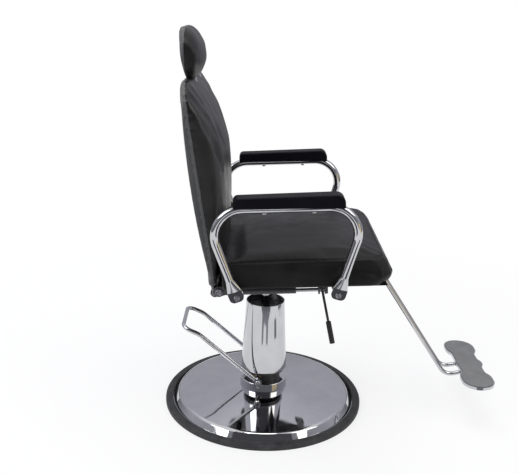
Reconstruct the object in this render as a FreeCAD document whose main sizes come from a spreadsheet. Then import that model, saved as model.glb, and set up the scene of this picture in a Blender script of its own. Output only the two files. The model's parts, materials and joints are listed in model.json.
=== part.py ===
# A reclining barber chair on a hydraulic pump base, as separate pieces.
# Millimetres. +Z is up, the sitter faces -Y, and the sitter's right hand is
# towards -X. The origin is on the floor, on the axis of the pump.
import FreeCAD, Part
import math
import os
import re

import Sketcher
from FreeCAD import Vector

# Driving sizes: name, value, meaning
SIZES = [
    # clearances
    ("seat_gap", 0.3, "gap between still pieces that nest"),
    ("running", 0.05, "radial clearance of a shaft that turns or slides"),
    # base
    ("base_radius", 290, "outside of the rubber trim"),
    ("trim_height", 16, "rubber trim"),
    ("trim_width", 22, "rubber trim, from its outside to its lip"),
    ("trim_wall", 6, "rubber outside the disc's rim"),
    ("disc_edge", 7, "underside of the disc's rim above the floor"),
    ("disc_wall", 3, "sheet thickness of the disc"),
    ("bevel_inset", 40, "upper edge of the bevel, inside the base's outside"),
    ("bevel_height", 30, "height of that edge"),
    ("crown_height", 50, "flat on top of the disc"),
    ("collar_radius", 68.5, "outside of the collar"),
    ("collar_height", 25, "collar"),
    ("collar_wall", 2, "collar sheet"),
    ("clamp_wall", 6, "clamp plate under the disc"),
    ("base_bolt_circle", 52, "radius of the circle of base bolts"),
    ("base_bolt_radius", 4, "base bolt shank"),
    # pump
    ("spigot_radius", 40, "pump foot through the disc"),
    ("flange_wall", 8, "pump flange"),
    ("pump_radius", 48, "pump housing"),
    ("pump_top", 290, "top of the pump housing"),
    ("shoulder_height", 108, "ledge that carries the sleeve"),
    ("shoulder_wall", 8, "thickness of the ledge"),
    ("sleeve_foot_radius", 66.5, "foot of the sleeve"),
    ("sleeve_top_radius", 55.5, "top of the sleeve"),
    ("sleeve_length", 207, "sleeve"),
    ("sleeve_wall", 1.5, "sleeve sheet"),
    ("cap_wall", 6, "black ring in the sleeve"),
    ("seal_width", 6, "ram wiper, radially"),
    ("seal_height", 8, "ram wiper"),
    # pedal
    ("pedal_y", 17, "pedal shaft behind the pump axis"),
    ("pedal_z", 90, "pedal shaft above the floor"),
    ("shaft_radius", 7, "pedal shaft"),
    ("pedal_half_width", 77, "centre of each pedal leg from the middle"),
    ("pedal_rod_radius", 6, "pedal rod"),
    ("pedal_reach", 224, "shaft to the pedal's bend"),
    ("pedal_slope", 40.7, "angle of the legs above level"),
    ("pedal_tip_reach", 49, "bend to the foot bar"),
    ("pedal_tip_slope", 23, "angle of the tip above level"),
    ("pedal_corner", 24, "bend radius at the foot bar"),
    ("pedal_bend", 60, "bend radius along the legs"),
    ("boss_radius", 12, "pedal boss"),
    ("boss_length", 16, "pedal boss"),
    ("bush_wall", 3, "wall of the shaft bushes"),
    ("bush_length", 14, "shaft bushes"),
    ("cam_width", 12, "cam"),
    ("cam_tip", 6, "radius of the cam's tip"),
    ("plunger_radius", 7, "plunger"),
    ("plunger_length", 18, "plunger"),
    ("plunger_stroke", 8, "plunger travel"),
    # ram
    ("ram_radius", 12.5, "lifting ram"),
    ("ram_foot", 124, "bottom of the lowered ram"),
    ("hub_radius", 20, "hub under the seat"),
    ("hub_length", 21, "hub below its plate"),
    ("hub_pin_radius", 9, "ram end in the hub"),
    ("hub_pin_length", 18, "ram end in the hub"),
    ("washer_wall", 2, "swivel washer"),
    # seat
    ("seat_height", 444, "seat underside above the floor, at the pump axis"),
    ("seat_tilt", 3.1, "seat tips back, degrees"),
    ("seat_half_width", 250, "seat cushion"),
    ("seat_front", 320, "cushion front ahead of the pump axis"),
    ("seat_rear", 101, "cushion rear behind the pump axis"),
    ("seat_side", 80, "height of the cushion's side"),
    ("seat_crown", 17, "rise of the cushion's middle over its edge"),
    ("seat_corner", 50, "corner of the cushion seen from above"),
    ("seat_tuck", 18, "how far the cushion's front draws in at its foot and top"),
    ("seat_draw", 6, "how far the cushion's sides draw in at foot and top"),
    ("board_inset", 22, "seat board inside the cushion's outline"),
    ("board_wall", 12, "plywood of all boards"),
    ("mount_half_width", 95, "mount plate"),
    ("mount_front", 95, "mount plate ahead of the pump axis"),
    ("mount_rear", 58, "mount plate behind the pump axis"),
    ("mount_wall", 5, "mount plate"),
    ("mount_bolt_inset", 15, "plate bolts from the plate's edges"),
    ("mount_bolt_radius", 4, "plate bolt shank"),
    # arms
    ("bar_size", 20, "square bars under the seat"),
    ("arm_gap", 25, "seat side to the plane of the arm tube"),
    ("arm_middle", 50, "middle of the arm ahead of the pump axis"),
    ("arm_top", 219.5, "tube centre line above the seat's underside"),
    ("arm_reach", 201.2, "half length of the arm to the bend's corner"),
    ("arm_bend", 70, "bend radius of the arm tube"),
    ("arm_lean", 18, "lean of the legs, degrees"),
    ("tube_radius", 11.1, "arm tube"),
    ("tube_wall", 2, "arm tube wall"),
    ("flat_start", 37, "height where the tube starts to flatten"),
    ("flat_end", 6, "height where it is flat"),
    ("flat_width", 37, "flattened end"),
    ("flat_wall", 7, "flattened end"),
    ("flat_foot", 11, "flattened end below its bolt"),
    ("arm_bolt_radius", 4, "arm bolt shank"),
    ("pad_rear", 135, "arm pad behind its middle"),
    ("pad_front", 135, "arm pad ahead of its middle"),
    ("pad_shift", 8, "pad's middle ahead of the arm's middle"),
    ("pad_rear_wall", 24.5, "rear of the arm pad above its foot"),
    ("pad_front_wall", 27, "front of the arm pad above the same level"),
    ("pad_skirt", 5.5, "drop of the pad's foot towards its front"),
    ("pad_half_width", 23.5, "arm pad"),
    ("pad_sink", 4.5, "how deep the tube sits in the pad's rear"),
    ("pad_screw_pitch", 60, "pad screws from the pad's middle"),
    ("pad_screw_radius", 2.5, "pad screw shank"),
    # recline pivot
    ("pivot_behind", 25, "pivot behind the seat cushion"),
    ("pivot_drop", 17.4, "pivot below the seat's underside"),
    ("cross_radius", 12.5, "cross tube on the pivot line"),
    ("cross_wall", 2, "cross tube wall"),
    ("cross_inset", 45, "ends of the cross tube inside the seat's sides"),
    ("lug_wall", 6, "hinge lugs"),
    ("lug_radius", 14, "round end of the lugs"),
    ("hinge_bolt_radius", 6, "recline pivot bolt"),
    ("hinge_bush_length", 20, "bushes in the cross tube"),
    # back
    ("back_lean", 9, "backrest tips back at rest, degrees"),
    ("back_inset", 20, "back cushion's sides inside the seat's"),
    ("back_foot", 20, "bottom of the back above the pivot"),
    ("back_height", 518, "back cushion, bottom to top"),
    ("back_bulge", 75, "thickest place of the cushion ahead of its rear"),
    ("back_top_thick", 16.7, "cushion thickness where the top turns over"),
    ("back_foot_thick", 19.2, "cushion thickness at its foot"),
    ("back_apex", 381, "thickest place above the foot"),
    ("back_shoulder", 439, "where the top starts to turn over, above the foot"),
    ("back_corner", 70, "corner of the back seen from the front"),
    ("back_side_share", 0.71, "thickness at the sides over that in the middle"),
    ("panel_edge", 8, "rear panel at its ends"),
    ("panel_rise", 12.8, "rear panel's bow over its length"),
    ("back_board_foot", 30, "back board above the cushion's foot"),
    ("back_board_head", 60, "back board below the cushion's top"),
    ("back_board_side", 30, "back board inside the cushion's sides"),
    ("arm_bar_width", 36, "flat bars up the back"),
    ("arm_bar_wall", 6, "flat bars"),
    ("arm_bar_inset", 21, "bars' centre line inside the cross tube's end"),
    ("arm_bar_up", 150, "bars above the pivot"),
    ("arm_bar_down", 18, "bars below the pivot"),
    ("arm_bar_bolt_radius", 3.5, "bar bolts"),
    # headrest
    ("post_radius", 6, "headrest posts"),
    ("post_half_pitch", 60, "headrest posts from the middle"),
    ("guide_size", 18, "square guide of a post"),
    ("guide_length", 125, "guide"),
    ("guide_drop", 24, "guide below the cushion's top"),
    ("head_gap", 1, "head cushion above the back's top"),
    ("head_height", 122.5, "head cushion"),
    ("head_half_width", 130, "head cushion"),
    ("head_front", 41, "head cushion ahead of the pivot line"),
    ("head_rear", 3.5, "head cushion behind the pivot line"),
    ("head_panel", 14, "headrest panel"),
    ("head_corner", 61, "corner of the headrest seen from the front"),
    ("head_travel", 80, "headrest travel"),
    # strut
    ("strut_x", 120, "strut from the middle, on the sitter's right"),
    ("strut_drop", 36.9, "strut axis below the pivot"),
    ("crank_length", 38.7, "pivot to crank pin"),
    ("crank_start", 25, "crank behind straight down at rest, degrees"),
    ("crank_wall", 5, "crank plates"),
    ("crank_pin_radius", 5, "crank pin"),
    ("eye_slack", 2.4, "radial clearance of the strut's eye on its pin"),
    ("eye_width", 12, "strut eye"),
    ("eye_wall", 5, "ring of the eye round its hole"),
    ("eye_neck", 8, "cylinder to the eye's ring"),
    ("strut_radius", 9, "strut cylinder"),
    ("strut_wall", 1.5, "strut cylinder"),
    ("strut_length", 199, "strut cylinder"),
    ("strut_end", 8, "end caps of the cylinder"),
    ("gas_rod_radius", 5, "strut rod"),
    ("piston_wall", 10, "strut piston"),
    ("piston_depth", 60, "piston inside the cylinder at rest"),
    ("head_block", 22, "length of the release head"),
    ("strut_gap", 60, "cylinder to release head at rest"),
    ("bracket_wall", 4, "strut bracket"),
    # release lever
    ("lever_radius", 3.5, "release lever"),
    ("lever_length", 144, "release lever"),
    ("lever_outward", 29.6, "lever's angle outwards from straight down"),
    ("lever_forward", 8.3, "lever's angle forwards from straight down"),
    ("grip_radius", 7, "lever grip"),
    ("grip_length", 57, "lever grip"),
    ("lever_pin_radius", 3, "lever pin"),
    ("lever_slot", 13, "slot that the lever swings in"),
    # footrest
    ("rod_half_pitch", 27, "footrest rods from the middle"),
    ("rod_radius", 6.25, "footrest rods"),
    ("socket_size", 19, "square sockets of the rods"),
    ("socket_length", 80, "sockets"),
    ("rod_tail", 22, "rods behind their sockets"),
    ("rod_corner", 310, "first bend ahead of the pump axis"),
    ("rod_drop", 382, "first bend to second bend"),
    ("rod_slope", 56, "angle of the drop below level"),
    ("rod_bend", 36, "bend radius of the rods"),
    ("rod_foot", 106, "second bend to the rods' ends"),
    ("rod_dip", 13.2, "corner of the second bend below the rods' ends"),
    ("rod_rise", 12, "angle of the rods' rise after that bend"),
    ("lobe_half_width", 45.5, "end lobes of the foot plate, front to rear"),
    ("lobe_half_length", 53, "end lobes of the foot plate, across the chair"),
    ("lobe_half_pitch", 100, "lobes from the middle"),
    ("lobe_ahead", 82.5, "lobe centres ahead of the second bend"),
    ("waist_rear", 35, "waist behind the lobe centres"),
    ("waist_front", 34, "waist ahead of the lobe centres"),
    ("nose_radius", 40, "middle bump of the foot plate"),
    ("nose_ahead", 2.3, "bump's centre ahead of the lobe centres"),
    ("waist_fillet", 24, "hollow corners of the foot plate"),
    ("tray_wall", 3, "floor of the foot tray"),
    ("tray_lip", 5, "lip of the foot tray over its floor"),
    ("tray_rim", 3, "thickness of the lip"),
    ("tread_wall", 6.5, "grey tread"),
]

doc = FreeCAD.newDocument("barber_chair")
sheet = doc.addObject("Spreadsheet::Sheet", "size")
for row, (name, number, meaning) in enumerate(SIZES, start=1):
    sheet.set(f"A{row}", meaning)
    sheet.set(f"B{row}", str(number))
    sheet.setAlias(f"B{row}", name)
doc.recompute()
CELLS = {name for name, number, meaning in SIZES}
PIECES = []


def value(text):
    """The number that an expression on the sheet's cells gives."""
    return float(sheet.evalExpression(text))


def tied(text):
    """The expression as another object needs it, with the sheet's name."""
    def named(word):
        return "size." + word.group() if word.group() in CELLS else word.group()

    return re.sub(r"[a-z]\w*", named, text)


def piece(name, placement=None):
    """An empty body for one piece."""
    body = doc.addObject("PartDesign::Body", name)
    body.Label = name
    if placement:
        body.setExpression("Placement", tied(placement))
    PIECES.append(body)
    return body


def solid(name, shape, placement=None):
    """A piece whose shape is worked out from the sheet's sizes."""
    feature = doc.addObject("Part::Feature", name)
    feature.Label = name
    feature.Shape = shape
    if placement:
        feature.setExpression("Placement", tied(placement))
    PIECES.append(feature)
    return feature


def plane_of(body, plane):
    """The origin plane XY, XZ or YZ of a body."""
    return [item for item in body.Origin.OriginFeatures if item.Role == plane + "_Plane"][0]


def sketch(body, plane, offset="0", attitude=None):
    """A sketch parallel to an origin plane, or tilted from it by attitude."""
    drawing = body.newObject("Sketcher::SketchObject", body.Name + "_sketch")
    drawing.AttachmentSupport = [(plane_of(body, plane), "")]
    drawing.MapMode = "FlatFace"
    if attitude:
        drawing.setExpression("AttachmentOffset", tied(attitude))
    else:
        drawing.setExpression("AttachmentOffset.Base.z", tied(offset))
    return drawing


def pin_point(drawing, geometry, point, x, y):
    """Fix one point of the sketch at x, y."""
    for kind, text in (("DistanceX", x), ("DistanceY", y)):
        rule = drawing.addConstraint(Sketcher.Constraint(kind, -1, 1, geometry, point, value(text)))
        drawing.setExpression(f"Constraints[{rule}]", tied(text))


def ring(x, y, radius):
    """A circle to draw in a sketch."""
    return lambda drawing: draw_circle(drawing, x, y, radius)


def draw_circle(drawing, x, y, radius):
    centre = Vector(value(x), value(y), 0)
    circle = drawing.addGeometry(Part.Circle(centre, Vector(0, 0, 1), value(radius)), False)
    rule = drawing.addConstraint(Sketcher.Constraint("Radius", circle, value(radius)))
    drawing.setExpression(f"Constraints[{rule}]", tied(radius))
    pin_point(drawing, circle, 3, x, y)


def outline(*corners, closed=True):
    """Straight sides through corners (x, y) or, rounded, (x, y, radius)."""
    return lambda drawing: draw_outline(drawing, corners, closed)


def draw_outline(drawing, corners, closed):
    points = [Vector(value(corner[0]), value(corner[1]), 0) for corner in corners]
    count = len(points)
    sides = count if closed else count - 1
    stops = list(points)
    starts = list(points)
    for i, corner in enumerate(corners):
        if len(corner) > 2:
            back = (points[i - 1] - points[i]).normalize()
            ahead = (points[(i + 1) % count] - points[i]).normalize()
            reach = value(corner[2]) / math.tan(back.getAngle(ahead) / 2)
            stops[i] = points[i] + back * reach
            starts[i] = points[i] + ahead * reach
    first = drawing.GeometryCount
    for i in range(sides):
        drawing.addGeometry(Part.LineSegment(starts[i], stops[(i + 1) % count]), False)
    for i, corner in enumerate(corners):
        before = first + (i - 1) % sides
        after = first + i
        open_end = not closed and i in (0, count - 1)
        if len(corner) > 2:
            round_corner(drawing, points[i], stops[i], starts[i], corner, before, after)
        elif open_end:
            line, end = (after, 1) if i == 0 else (before, 2)
            pin_point(drawing, line, end, corner[0], corner[1])
        else:
            drawing.addConstraint(Sketcher.Constraint("Coincident", before, 2, after, 1))
            pin_point(drawing, after, 1, corner[0], corner[1])


def round_corner(drawing, corner_point, stop, start, corner, before, after):
    """An arc tangent to both sides, and the fixed point where they would meet."""
    radius = value(corner[2])
    left_turn = (stop - corner_point).cross(start - corner_point).z < 0
    middle = (stop + start) * 0.5
    centre = corner_point + (middle - corner_point).normalize() * math.hypot((stop - corner_point).Length, radius)
    first, last = (stop, start) if left_turn else (start, stop)
    angles = [math.atan2(end.y - centre.y, end.x - centre.x) for end in (first, last)]
    if angles[1] < angles[0]:
        angles[1] += 2 * math.pi
    circle = Part.Circle(centre, Vector(0, 0, 1), radius)
    arc = drawing.addGeometry(Part.ArcOfCircle(circle, angles[0], angles[1]), False)
    point = drawing.addGeometry(Part.Point(corner_point), True)
    near, far = (1, 2) if left_turn else (2, 1)
    drawing.addConstraint(Sketcher.Constraint("Tangent", before, 2, arc, near))
    drawing.addConstraint(Sketcher.Constraint("Tangent", after, 1, arc, far))
    drawing.addConstraint(Sketcher.Constraint("PointOnObject", point, 1, before))
    drawing.addConstraint(Sketcher.Constraint("PointOnObject", point, 1, after))
    rule = drawing.addConstraint(Sketcher.Constraint("Radius", arc, radius))
    drawing.setExpression(f"Constraints[{rule}]", tied(corner[2]))
    pin_point(drawing, point, 1, corner[0], corner[1])


def box(x_low, y_low, x_high, y_high, *corner_radius):
    """A rectangle to draw, with rounded corners where a radius is given."""
    sides = ((x_low, y_low), (x_high, y_low), (x_high, y_high), (x_low, y_high))
    return outline(*(side + corner_radius for side in sides))


def hexagon(x, y, flats):
    """A bolt head's hexagon, by its width across flats."""
    reach = f"({flats}) / sqrt(3)"
    return outline(*((f"({x}) + {reach} * cos({60 * k})", f"({y}) + {reach} * sin({60 * k})") for k in range(6)))


def prism(kind, body, plane, low, high, loops):
    offset = f"-({high})" if plane == "XZ" else low
    drawing = sketch(body, plane, offset)
    for loop in loops:
        loop(drawing)
    feature = body.newObject(kind, body.Name + "_prism")
    feature.Profile = drawing
    feature.setExpression("Length", tied(f"({high}) - ({low})"))
    if kind == "PartDesign::Pocket":
        feature.Reversed = True
    return feature


def pad(body, plane, low, high, *loops):
    """Add the loops' inside, from low to high across the plane."""
    return prism("PartDesign::Pad", body, plane, low, high, loops)


def pocket(body, plane, low, high, *loops):
    """Take the loops' inside away, from low to high across the plane."""
    return prism("PartDesign::Pocket", body, plane, low, high, loops)


def turn(body, *corners, kind="PartDesign::Revolution"):
    """Turn an outline of (radius, height) corners about the body's Z axis."""
    drawing = sketch(body, "XZ")
    outline(*corners)(drawing)
    feature = body.newObject(kind, body.Name + "_turned")
    feature.Profile = drawing
    feature.ReferenceAxis = (drawing, ["V_Axis"])
    feature.Angle = 360
    return feature


def pipe(body, plane, offset, corners, profile_offset, *loops):
    """Sweep loops, drawn on an XZ plane, along an open outline."""
    path = sketch(body, plane, offset)
    outline(*corners, closed=False)(path)
    section = sketch(body, "XZ", profile_offset)
    for loop in loops:
        loop(section)
    feature = body.newObject("PartDesign::AdditivePipe", body.Name + "_pipe")
    feature.Profile = section
    feature.Spine = (path, [f"Edge{k + 1}" for k in range(len(path.Shape.Edges))])
    return feature


def soften(body, radius, choose):
    """Round the edges of the body's last feature that choose picks."""
    doc.recompute()
    base = body.Tip
    names = [f"Edge{k + 1}" for k, edge in enumerate(base.Shape.Edges) if choose(edge)]
    feature = body.newObject("PartDesign::Fillet", body.Name + "_fillet")
    feature.Base = (base, names)
    feature.setExpression("Radius", tied(radius))
    return feature


def bevel(body, size, choose):
    """Chamfer the edges of the body's last feature that choose picks."""
    doc.recompute()
    base = body.Tip
    names = [f"Edge{k + 1}" for k, edge in enumerate(base.Shape.Edges) if choose(edge)]
    feature = body.newObject("PartDesign::Chamfer", body.Name + "_chamfer")
    feature.Base = (base, names)
    feature.setExpression("Size", tied(size))
    return feature


def hollow_circle(edge):
    """True for a full circle."""
    return isinstance(edge.Curve, Part.Circle) and edge.Length > 2 * math.pi * edge.Curve.Radius * 0.99


# Base
CLAMP_TOP = "crown_height - disc_wall"
BEVEL_RADIUS = "base_radius - bevel_inset"
CLAMP_FOOT = "crown_height - disc_wall - clamp_wall"
FLANGE_RADIUS = "collar_radius - collar_wall - seat_gap"
RIM_RADIUS = "base_radius - trim_wall - seat_gap"
LIP_RADIUS = "base_radius - trim_width"
DISC_TOP = "disc_edge + disc_wall"
COLLAR_TOP = "crown_height + collar_height"
NECK_CLEAR = "pump_radius + seat_gap"


def base_bolt_places():
    """The four bolt centres on their circle."""
    quarter = [(1, 0), (0, 1), (-1, 0), (0, -1)]
    return [(f"base_bolt_circle * {x}", f"base_bolt_circle * {y}") for x, y in quarter]


def make_base():
    trim = piece("base_edge_trim")
    turn(
        trim,
        (LIP_RADIUS, "0"),
        ("base_radius", "0", "trim_height / 8"),
        ("base_radius", "trim_height", "trim_height / 2.5"),
        (LIP_RADIUS, "trim_height", "trim_height / 8"),
        (LIP_RADIUS, f"{DISC_TOP} + seat_gap"),
        ("base_radius - trim_wall", f"{DISC_TOP} + seat_gap"),
        ("base_radius - trim_wall", "disc_edge"),
        (LIP_RADIUS, "disc_edge"),
    )

    disc = piece("base_disc")
    turn(
        disc,
        (RIM_RADIUS, "disc_edge"),
        (RIM_RADIUS, DISC_TOP),
        (f"{LIP_RADIUS} - disc_wall", DISC_TOP, "disc_wall * 1.5"),
        (BEVEL_RADIUS, "bevel_height", "disc_wall * 4"),
        ("collar_radius + disc_wall", "crown_height"),
        ("spigot_radius + seat_gap", "crown_height"),
        ("spigot_radius + seat_gap", CLAMP_TOP),
        ("collar_radius + disc_wall", CLAMP_TOP),
        (f"{BEVEL_RADIUS} - disc_wall / 2", "bevel_height - disc_wall", "disc_wall * 3"),
        (f"{LIP_RADIUS} - disc_wall * 1.6", "disc_edge", "disc_wall * 1.5"),
    )
    holes = [ring(x, y, "base_bolt_radius + seat_gap") for x, y in base_bolt_places()]
    pocket(disc, "XY", f"{CLAMP_TOP} - 1", "crown_height + 1", *holes)

    clamp = piece("clamp_plate")
    clamp_hole = ring("0", "0", "spigot_radius + seat_gap")
    pad(clamp, "XY", CLAMP_FOOT, CLAMP_TOP, ring("0", "0", FLANGE_RADIUS), clamp_hole, *holes)

    bolts = piece("base_bolts")
    heads = [hexagon(x, y, "base_bolt_radius * 3.2") for x, y in base_bolt_places()]
    shanks = [ring(x, y, "base_bolt_radius") for x, y in base_bolt_places()]
    pad(bolts, "XY", f"{CLAMP_FOOT} - base_bolt_radius * 1.3", CLAMP_FOOT, *heads)
    pad(bolts, "XY", CLAMP_FOOT, "crown_height + flange_wall - seat_gap", *shanks)

    collar = piece("base_collar")
    turn(
        collar,
        ("collar_radius", "crown_height"),
        ("collar_radius", COLLAR_TOP, "collar_wall * 1.4"),
        (NECK_CLEAR, COLLAR_TOP),
        (NECK_CLEAR, f"{COLLAR_TOP} - collar_wall"),
        ("collar_radius - collar_wall", f"{COLLAR_TOP} - collar_wall"),
        ("collar_radius - collar_wall", "crown_height"),
    )


# Pump
SHOULDER_RADIUS = "sleeve_foot_radius - sleeve_wall * 4"
RAM_BORE = "ram_radius + running"
PLUNGER_FOOT = "pedal_z + cam_tip + seat_gap"
CHAMBER_TOP = f"{PLUNGER_FOOT} + plunger_stroke + 2"
CAM_HUB = "shaft_radius * 1.6"
SLEEVE_TOP = "shoulder_height + sleeve_length"
SLEEVE_TAPER = "(sleeve_foot_radius - sleeve_top_radius) / sleeve_length"
BUSH_RADIUS = "shaft_radius + running + bush_wall"


def make_pump():
    pump = piece("pump_body")
    turn(
        pump,
        ("0", CLAMP_FOOT),
        ("spigot_radius", CLAMP_FOOT),
        ("spigot_radius", "crown_height"),
        (FLANGE_RADIUS, "crown_height"),
        (FLANGE_RADIUS, "crown_height + flange_wall"),
        ("pump_radius", "crown_height + flange_wall"),
        ("pump_radius", "shoulder_height - shoulder_wall"),
        (SHOULDER_RADIUS, "shoulder_height - shoulder_wall"),
        (SHOULDER_RADIUS, "shoulder_height"),
        ("pump_radius", "shoulder_height"),
        ("pump_radius", "pump_top", "pump_radius / 12"),
        (f"{RAM_BORE} + seal_width", "pump_top"),
        (f"{RAM_BORE} + seal_width", "pump_top - seal_height"),
        (RAM_BORE, "pump_top - seal_height"),
        (RAM_BORE, "ram_foot - 1"),
        ("plunger_radius + running", "ram_foot - 1"),
        ("plunger_radius + running", f"{CHAMBER_TOP} - 1"),
        ("0", f"{CHAMBER_TOP} - 1"),
    )
    chamber = box(
        "-(cam_tip + 4)",
        f"pedal_z - {CAM_HUB} - 1",
        f"pedal_y + {CAM_HUB} + 1",
        CHAMBER_TOP,
    )
    pocket(pump, "YZ", "-(cam_width / 2 + 1)", "cam_width / 2 + 1", chamber)
    shaft_bore = ring("pedal_y", "pedal_z", f"{BUSH_RADIUS} + seat_gap / 3")
    pocket(pump, "YZ", "-(pump_radius + 2)", "pump_radius + 2", shaft_bore)
    holes = [ring(x, y, "base_bolt_radius + seat_gap") for x, y in base_bolt_places()]
    pocket(pump, "XY", "crown_height - 1", "crown_height + flange_wall + 1", *holes)

    bushes = piece("shaft_bushes")
    bush_loops = (ring("pedal_y", "pedal_z", BUSH_RADIUS), ring("pedal_y", "pedal_z", "shaft_radius + running"))
    outer = "pump_radius + 1"
    pad(bushes, "YZ", f"{outer} - bush_length", outer, *bush_loops)
    pad(bushes, "YZ", f"-({outer})", f"-({outer}) + bush_length", *bush_loops)

    seal = piece("ram_seal")
    seal_loops = (ring("0", "0", f"{RAM_BORE} + seal_width - seat_gap"), ring("0", "0", "ram_radius + running * 2"))
    pad(seal, "XY", "pump_top - seal_height", "pump_top", *seal_loops)

    sleeve = piece("pump_sleeve")
    turn(
        sleeve,
        (NECK_CLEAR, "shoulder_height"),
        ("sleeve_foot_radius", "shoulder_height", "sleeve_wall * 1.5"),
        ("sleeve_top_radius", SLEEVE_TOP),
        ("sleeve_top_radius - sleeve_wall", SLEEVE_TOP),
        ("sleeve_foot_radius - sleeve_wall", "shoulder_height + sleeve_wall"),
        (NECK_CLEAR, "shoulder_height + sleeve_wall"),
    )

    cap = piece("sleeve_cap")
    edge = f"sleeve_foot_radius - sleeve_wall - (pump_top + cap_wall - shoulder_height) * {SLEEVE_TAPER} - seat_gap"
    turn(
        cap,
        ("ram_radius + 1", "pump_top"),
        (edge, "pump_top"),
        (edge, "pump_top + cap_wall / 2"),
        ("ram_radius + 6", "pump_top + cap_wall"),
        ("ram_radius + 1", "pump_top + cap_wall"),
    )


# Pedal
PEDAL = "placement(vector(0; pedal_y; pedal_z); rotation(vector(1; 0; 0); 0))"
BOSS_OUTER = "pedal_half_width + boss_length / 2"


def rod_through(points, bends, radius):
    """A round rod along straight runs joined by tangent arcs."""
    edges = []
    here = points[0]
    for i in range(1, len(points) - 1):
        back = (points[i - 1] - points[i]).normalize()
        ahead = (points[i + 1] - points[i]).normalize()
        half = back.getAngle(ahead) / 2
        reach = bends[i - 1] / math.tan(half)
        bisector = (back + ahead).normalize()
        middle = points[i] + bisector * (bends[i - 1] / math.sin(half) - bends[i - 1])
        start = points[i] + back * reach
        end = points[i] + ahead * reach
        edges.append(Part.LineSegment(here, start).toShape())
        edges.append(Part.Arc(start, middle, end).toShape())
        here = end
    edges.append(Part.LineSegment(here, points[-1]).toShape())
    path = Part.Wire(edges)
    section = Part.Wire([Part.Circle(points[0], points[1] - points[0], radius).toShape()])
    return path.makePipeShell([section], True, False)


def make_pedal():
    shaft = piece("pedal_shaft", PEDAL)
    pad(shaft, "YZ", f"-({BOSS_OUTER}) - 2", f"{BOSS_OUTER} + 2", ring("0", "0", "shaft_radius"))
    bevel(shaft, "shaft_radius / 6", hollow_circle)

    slope = math.radians(value("pedal_slope"))
    tip_slope = math.radians(value("pedal_tip_slope"))
    knee_y = value("pedal_reach") * math.cos(slope)
    knee_z = value("pedal_reach") * math.sin(slope)
    tip_y = knee_y + value("pedal_tip_reach") * math.cos(tip_slope)
    tip_z = knee_z + value("pedal_tip_reach") * math.sin(tip_slope)
    start = value("(boss_radius + shaft_radius) / 2")
    side = value("pedal_half_width")
    points = [
        Vector(-side, start * math.cos(slope), start * math.sin(slope)),
        Vector(-side, knee_y, knee_z),
        Vector(-side, tip_y, tip_z),
        Vector(side, tip_y, tip_z),
        Vector(side, knee_y, knee_z),
        Vector(side, start * math.cos(slope), start * math.sin(slope)),
    ]
    bend = value("pedal_bend")
    corner = value("pedal_corner")
    lever = rod_through(points, [bend, corner, corner, bend], value("pedal_rod_radius"))
    along = Vector(1, 0, 0)
    for boss_x in (-side, side):
        foot = Vector(boss_x - value("boss_length") / 2, 0, 0)
        lever = lever.fuse(Part.makeCylinder(value("boss_radius"), value("boss_length"), foot, along))
    bore = value("shaft_radius + running")
    lever = lever.cut(Part.makeCylinder(bore, 4 * side, Vector(-2 * side, 0, 0), along))
    for boss_x in (-side, side):
        screw_bore = value("boss_radius / 4 + seat_gap / 3")
        foot_point = Vector(boss_x, 0, 0)
        screw_hole = Part.makeCylinder(screw_bore, value("boss_radius * 2"), foot_point, Vector(0, 0, -1))
        lever = lever.cut(screw_hole)
    solid("pedal_lever", lever.removeSplitter(), PEDAL)

    screws = piece("pedal_screws", PEDAL)
    places = ("pedal_half_width", "-pedal_half_width")
    shanks = [ring(x, "0", "boss_radius / 4") for x in places]
    heads = [hexagon(x, "0", "boss_radius * 0.8") for x in places]
    pad(screws, "XY", "-(boss_radius + 3)", "-(shaft_radius + seat_gap / 3)", *shanks)
    pad(screws, "XY", "-(boss_radius + 7)", "-(boss_radius + 3)", *heads)

    cam = piece("pump_cam", PEDAL)
    blade = outline(
        ("0", "-(cam_tip * 0.98)"),
        ("0", "cam_tip * 0.98"),
        ("-pedal_y", "cam_tip * 0.98"),
        ("-pedal_y", "-(cam_tip * 0.98)"),
    )
    pad(cam, "YZ", "-cam_width / 2", "cam_width / 2", blade)
    pad(cam, "YZ", "-cam_width / 2", "cam_width / 2", ring("0", "0", CAM_HUB))
    pad(cam, "YZ", "-cam_width / 2", "cam_width / 2", ring("-pedal_y", "0", "cam_tip"))
    pocket(cam, "YZ", "-cam_width / 2 - 1", "cam_width / 2 + 1", ring("0", "0", "shaft_radius + running"))

    plunger = piece("pump_plunger")
    pad(plunger, "XY", PLUNGER_FOOT, f"{PLUNGER_FOOT} + plunger_length", ring("0", "0", "plunger_radius"))


# Ram
HUB_FOOT = "seat_height - mount_wall - hub_length"
RAM_SHOULDER = f"{HUB_FOOT} - washer_wall"


def make_ram():
    ram = piece("ram")
    turn(
        ram,
        ("0", "ram_foot"),
        ("ram_radius", "ram_foot"),
        ("ram_radius", RAM_SHOULDER, "ram_radius / 12"),
        ("hub_pin_radius", RAM_SHOULDER),
        ("hub_pin_radius", f"{RAM_SHOULDER} + hub_pin_length"),
        ("0", f"{RAM_SHOULDER} + hub_pin_length"),
    )
    washer = piece("swivel_washer")
    loops = (ring("0", "0", "hub_radius - 1"), ring("0", "0", "hub_pin_radius + seat_gap"))
    pad(washer, "XY", RAM_SHOULDER, HUB_FOOT, *loops)


# Seat: sizes below are in the seat's own tilted frame, from its underside
SEAT = "placement(vector(0; 0; seat_height); rotation(vector(1; 0; 0); -seat_tilt))"
ARM_X = "seat_half_width + arm_gap"
BAR_Z = "-bar_size / 2"
ARM_LEG = f"arm_reach - (arm_top - ({BAR_Z})) * tan(arm_lean)"
REAR_BAR_Y = f"{ARM_LEG} - arm_middle"
FRONT_BAR_Y = f"-({ARM_LEG}) - arm_middle"
BAR_SCREW_X = "seat_half_width * 0.6"


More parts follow.
